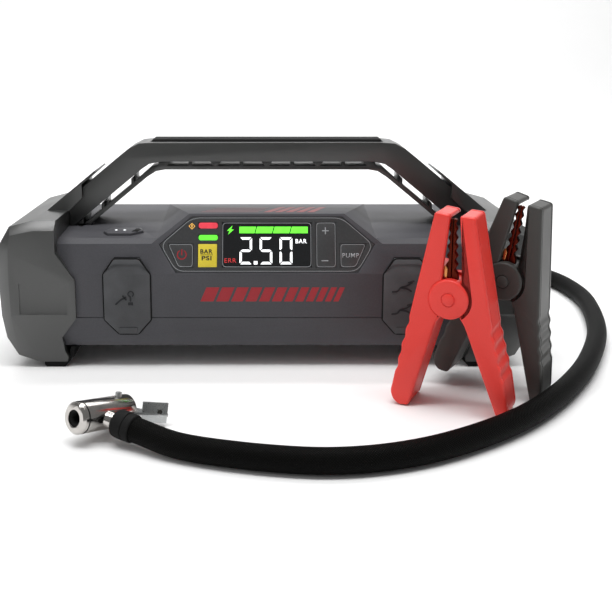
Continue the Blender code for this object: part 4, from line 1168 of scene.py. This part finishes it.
def make_cover_marks():
    """Raised signs on the port covers, a nozzle on the left and two clamps on the right, in a darker grey
    that paints the shade round their relief; a thin black ring of painted shade in the gap round each port;
    and the tab of each cover's strap."""
    nozzle = [np.vstack([arc(1.9, -60, 270, 30), arc(1.25, 270, -60, 30)]) + (-78.6, 45.6),
              stroke([(-87.2, 39.6), (-84.5, 42), (-81.6, 43.6)], 1.0),
              stroke([(-83.2, 44.4), (-81.4, 42.2)], 0.9),
              rounded(rectangle(-80.2, 38.9, -77.4, 40.6), 0.3, 3),
              stroke([(-78.9, 43.6), (-78.8, 41.4)], 0.8)]
    clips = []
    for z in (49.0, 35.6):
        clips += [stroke([(72.6, z - 2), (75.4, z - 1.6), (77.4, z + 0.6), (80.6, z + 1.6),
                          (83.6, z + 3.4)], 0.9),
                  stroke([(77.6, z + 0.4), (80.8, z - 0.2), (83.2, z - 1.6)], 1.0),
                  stroke([(81.4, z + 3.4), (84.6, z + 4.4)], 0.8)]
    for name, body, shapes in (("left_cover_sign", "left_cover", nozzle),
                               ("right_cover_signs", "right_cover", clips)):
        # The signs' darker grey is painted shade round their relief
        solid_piece(name, several([raised(shape) for shape in shapes]), body, "sign_rubber",
                    "cover_rubber", FRONT_PLANE)
    ports = (("left", -PORT_X), ("right", PORT_X))
    # A thin black tube in the gap round each cover: painted shade, not a seal
    for side, x in ports:
        rings = closed_tube(in_pack(cover_gap_line() + (x, 0, 0)), 0.42 * MM, 10)
        solid_piece(f"{side}_cover_gap_shade", (rings.reshape(-1, 3), grid_faces(*rings.shape[:2], looped=True)),
                    "pack", "black_rubber")
    for side, x in ports:
        tab = rounded(rectangle(x - 5.4, -10.6, x + 5.4, -6.4), 0.6, 4)
        solid_piece(f"{side}_cover_strap_tab", slab(tab, COVER_FACE - 0.2, COVER_FACE + 0.45, 0.25),
                    f"{side}_cover", "cover_rubber", "cover_rubber", LOWER_PLANE)


def slanted(left, right, low, high, lean):
    """A bar that leans to the right by lean at its top."""
    return [(left, low), (right, low), (right + lean, high), (left + lean, high)]


def stripe(*sides_and_lean):
    """One printed slanted bar."""
    return slab(slanted(*sides_and_lean), -0.1, INK)


def make_stripes():
    """Plain red stripes, printed on the front between the ports and on the hump's top. The front ones
    narrow from left to right."""
    gap, left, bars = 1.5, -38.5, []
    for i in range(12):
        width = 7.6 - 0.42 * i
        bars.append(stripe(left, left + width, 41.0, 49.4, 3.6))
        left += width + gap
    marks = [stripe(x, x + 4.2, 12, 56, 10) for x in np.arange(-2, 30, 6.4)]
    rules = [stripe(-42 + v * 0.2, -8 + v * 0.2, v, v + 4, 0.9) for v in (13, 24, 35, 46)]
    for name, shapes, ink, plane in (("front_stripes", bars, "red_ink", FRONT_PLANE),
                                     ("top_stripes", marks, "deep_red_ink", TOP_PLANE),
                                     ("top_rules", rules, "dim_red_ink", TOP_PLANE)):
        solid_piece(name, several(shapes), "pack", ink, None, plane, False)


def make_button_lights():
    """Two small lights in the lamp button's top and the dark grip at its right end."""
    centre = middle("lamp_button")
    place = Matrix.Translation(Vector((centre.x, centre.y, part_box("lamp_button")[1].z)))
    for name, x in (("lamp_button_light", -4.5), ("lamp_button_dot", 0.5)):
        points, faces = turned([(0, -0.4), (0.8, -0.4), (0.8, 0.05), (0.6, 0.2), (0, 0.26)], 20)
        solid_piece(name, (points + (x * MM, 0, 0), faces), "lamp_button", "white_segment", None, place)
    grip = slab([(5.2, -4.5), (8.6, -4.5), (10.2, 1), (8.6, 4.5), (6.8, 4.5)], -0.4, 0.12, 0.1)
    solid_piece("lamp_button_grip", grip, "lamp_button", "black_rubber", None, place)


class JUMPPACK_OT_marks(bpy.types.Operator):
    """Raise the cover signs, strap tabs and button lights, and print the stripes"""

    bl_idname = "jumppack.marks"
    bl_label = "Cover signs and stripes"

    def execute(self, context):
        make_cover_marks()
        make_button_lights()
        make_stripes()
        return {"FINISHED"}


class JUMPPACK_OT_panel(bpy.types.Operator):
    """Print and light the marks of the control panel"""

    bl_idname = "jumppack.panel"
    bl_label = "Control panel marks"

    def execute(self, context):
        make_panel_marks()
        return {"FINISHED"}


# ---------------------------------------------------------------- stage

class JUMPPACK_OT_stage(bpy.types.Operator):
    """Add the pale floor, the backdrop and soft studio lights"""

    bl_idname = "jumppack.stage"
    bl_label = "Stage"

    def execute(self, context):
        make_stage(context.scene.jump_pack_camera.key_light)
        return {"FINISHED"}


def backdrop():
    """Floor and backdrop as one sheet: level, then a quarter circle, then upright, behind the object."""
    bend = 0.8
    angles = np.linspace(0, pi / 2, 16)
    curve = np.column_stack([2.0 + bend * np.sin(angles), bend * (1 - np.cos(angles))])
    line = np.vstack([[(-4.0, 0.0)], curve, [(2.0 + bend, 4.0)]])
    across = np.array([-5.0, 5.0])
    points = np.stack([np.broadcast_to(across, (len(line), 2)), np.broadcast_to(line[:, :1], (len(line), 2)),
                       np.broadcast_to(line[:, 1:], (len(line), 2))], -1)
    points[..., 2] -= 0.0002
    return points.reshape(-1, 3), grid_faces(len(line), 2, closed=False)


# Each light's place, aim, size and share of the key light's power
SOFT_LIGHTS = {
    "overhead_light": ((0, -0.2, 1.5), (0, 0, 0.05), (1.8, 0.6), 1.3),
    "strip_light": ((0, -0.32, 1.5), (0, 0, 0.05), (1.8, 0.16), 1.1),
    "left_light": ((-1.2, -0.6, 0.8), (0, 0, 0.05), (0.5, 1.0), 0.35),
    "rear_light": ((0, 1.2, 1.3), (0, 0, 0.05), (1.8, 0.6), 0.8),
    "backdrop_light": ((0, 0.9, 2.4), (0, 2.8, 0.9), (3.0, 0.6), 7),
}
ROOM_LEVEL = 0.22


def soft_light(name, location, target, size, power):
    """A rectangular light at a place, aimed at a target."""
    data = bpy.data.lights.new(name, "AREA")
    data.shape = "RECTANGLE"
    data.size, data.size_y = size
    data.energy = power
    light = bpy.data.objects.new(name, data)
    bpy.context.scene.collection.objects.link(light)
    light.location = location
    light.rotation_euler = (Vector(target) - Vector(location)).to_track_quat("-Z", "Y").to_euler()


def make_stage(power):
    """The sheet, the room and the lights."""
    verts, faces = backdrop()
    mesh = bpy.data.meshes.new("studio_sheet")
    mesh.from_pydata([tuple(v) for v in verts.tolist()], [], faces)
    mesh.shade_smooth()
    mesh.materials.append(floor_paint("paper_white", "F4F4F4"))
    sheet = bpy.data.objects.new("studio_sheet", mesh)
    bpy.context.scene.collection.objects.link(sheet)
    world = bpy.data.worlds.new("studio")
    world.use_nodes = True
    sky = world.node_tree.nodes["Background"]
    sky.inputs["Color"].default_value = (1, 1, 1, 1)
    # The room looks white beyond the sheet and lights the pack only softly
    seen = add(world.node_tree, "LightPath")
    level = add(world.node_tree, "MapRange", {"To Min": ROOM_LEVEL, "To Max": 1.0},
                {"Value": seen.outputs["Is Camera Ray"]})
    world.node_tree.links.new(level.outputs["Result"], sky.inputs["Strength"])
    bpy.context.scene.world = world
    for name, (location, target, size, share) in SOFT_LIGHTS.items():
        soft_light(name, location, target, size, power * share)
    bpy.context.scene.view_settings.view_transform = "Standard"


# ---------------------------------------------------------------- add-on

OPERATORS = [JUMPPACK_OT_camera, JUMPPACK_OT_air_hose, JUMPPACK_OT_finishes, JUMPPACK_OT_clamps,
             JUMPPACK_OT_panel, JUMPPACK_OT_marks, JUMPPACK_OT_stage]


class JUMPPACK_PT_panel(bpy.types.Panel):
    """Lists the steps that build the looks"""

    bl_idname = "JUMPPACK_PT_panel"
    bl_label = "Jump starter pack"
    bl_space_type = "VIEW_3D"
    bl_region_type = "UI"
    bl_category = "Jump starter"

    def draw(self, context):
        for operator in OPERATORS:
            self.layout.operator(operator.bl_idname)


GROUPS = {"jump_pack_camera": JumpPackCamera, "jump_pack_colours": JumpPackColours,
          "jump_pack_parts": JumpPackParts}


def register():
    for group in GROUPS.values():
        bpy.utils.register_class(group)
    for name, group in GROUPS.items():
        setattr(bpy.types.Scene, name, PointerProperty(type=group))
    for operator in OPERATORS + [JUMPPACK_PT_panel]:
        bpy.utils.register_class(operator)


def unregister():
    for operator in OPERATORS + [JUMPPACK_PT_panel]:
        bpy.utils.unregister_class(operator)
    for name, group in GROUPS.items():
        delattr(bpy.types.Scene, name)
        bpy.utils.unregister_class(group)


def main():
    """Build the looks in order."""
    register()
    scene = bpy.context.scene
    make_finishes(scene.jump_pack_colours)
    bpy.ops.jumppack.camera()
    bpy.ops.jumppack.air_hose()
    bpy.ops.jumppack.finishes()
    bpy.ops.jumppack.clamps()
    bpy.ops.jumppack.panel()
    bpy.ops.jumppack.marks()
    bpy.ops.jumppack.stage()


if __name__ == "__main__":
    main()
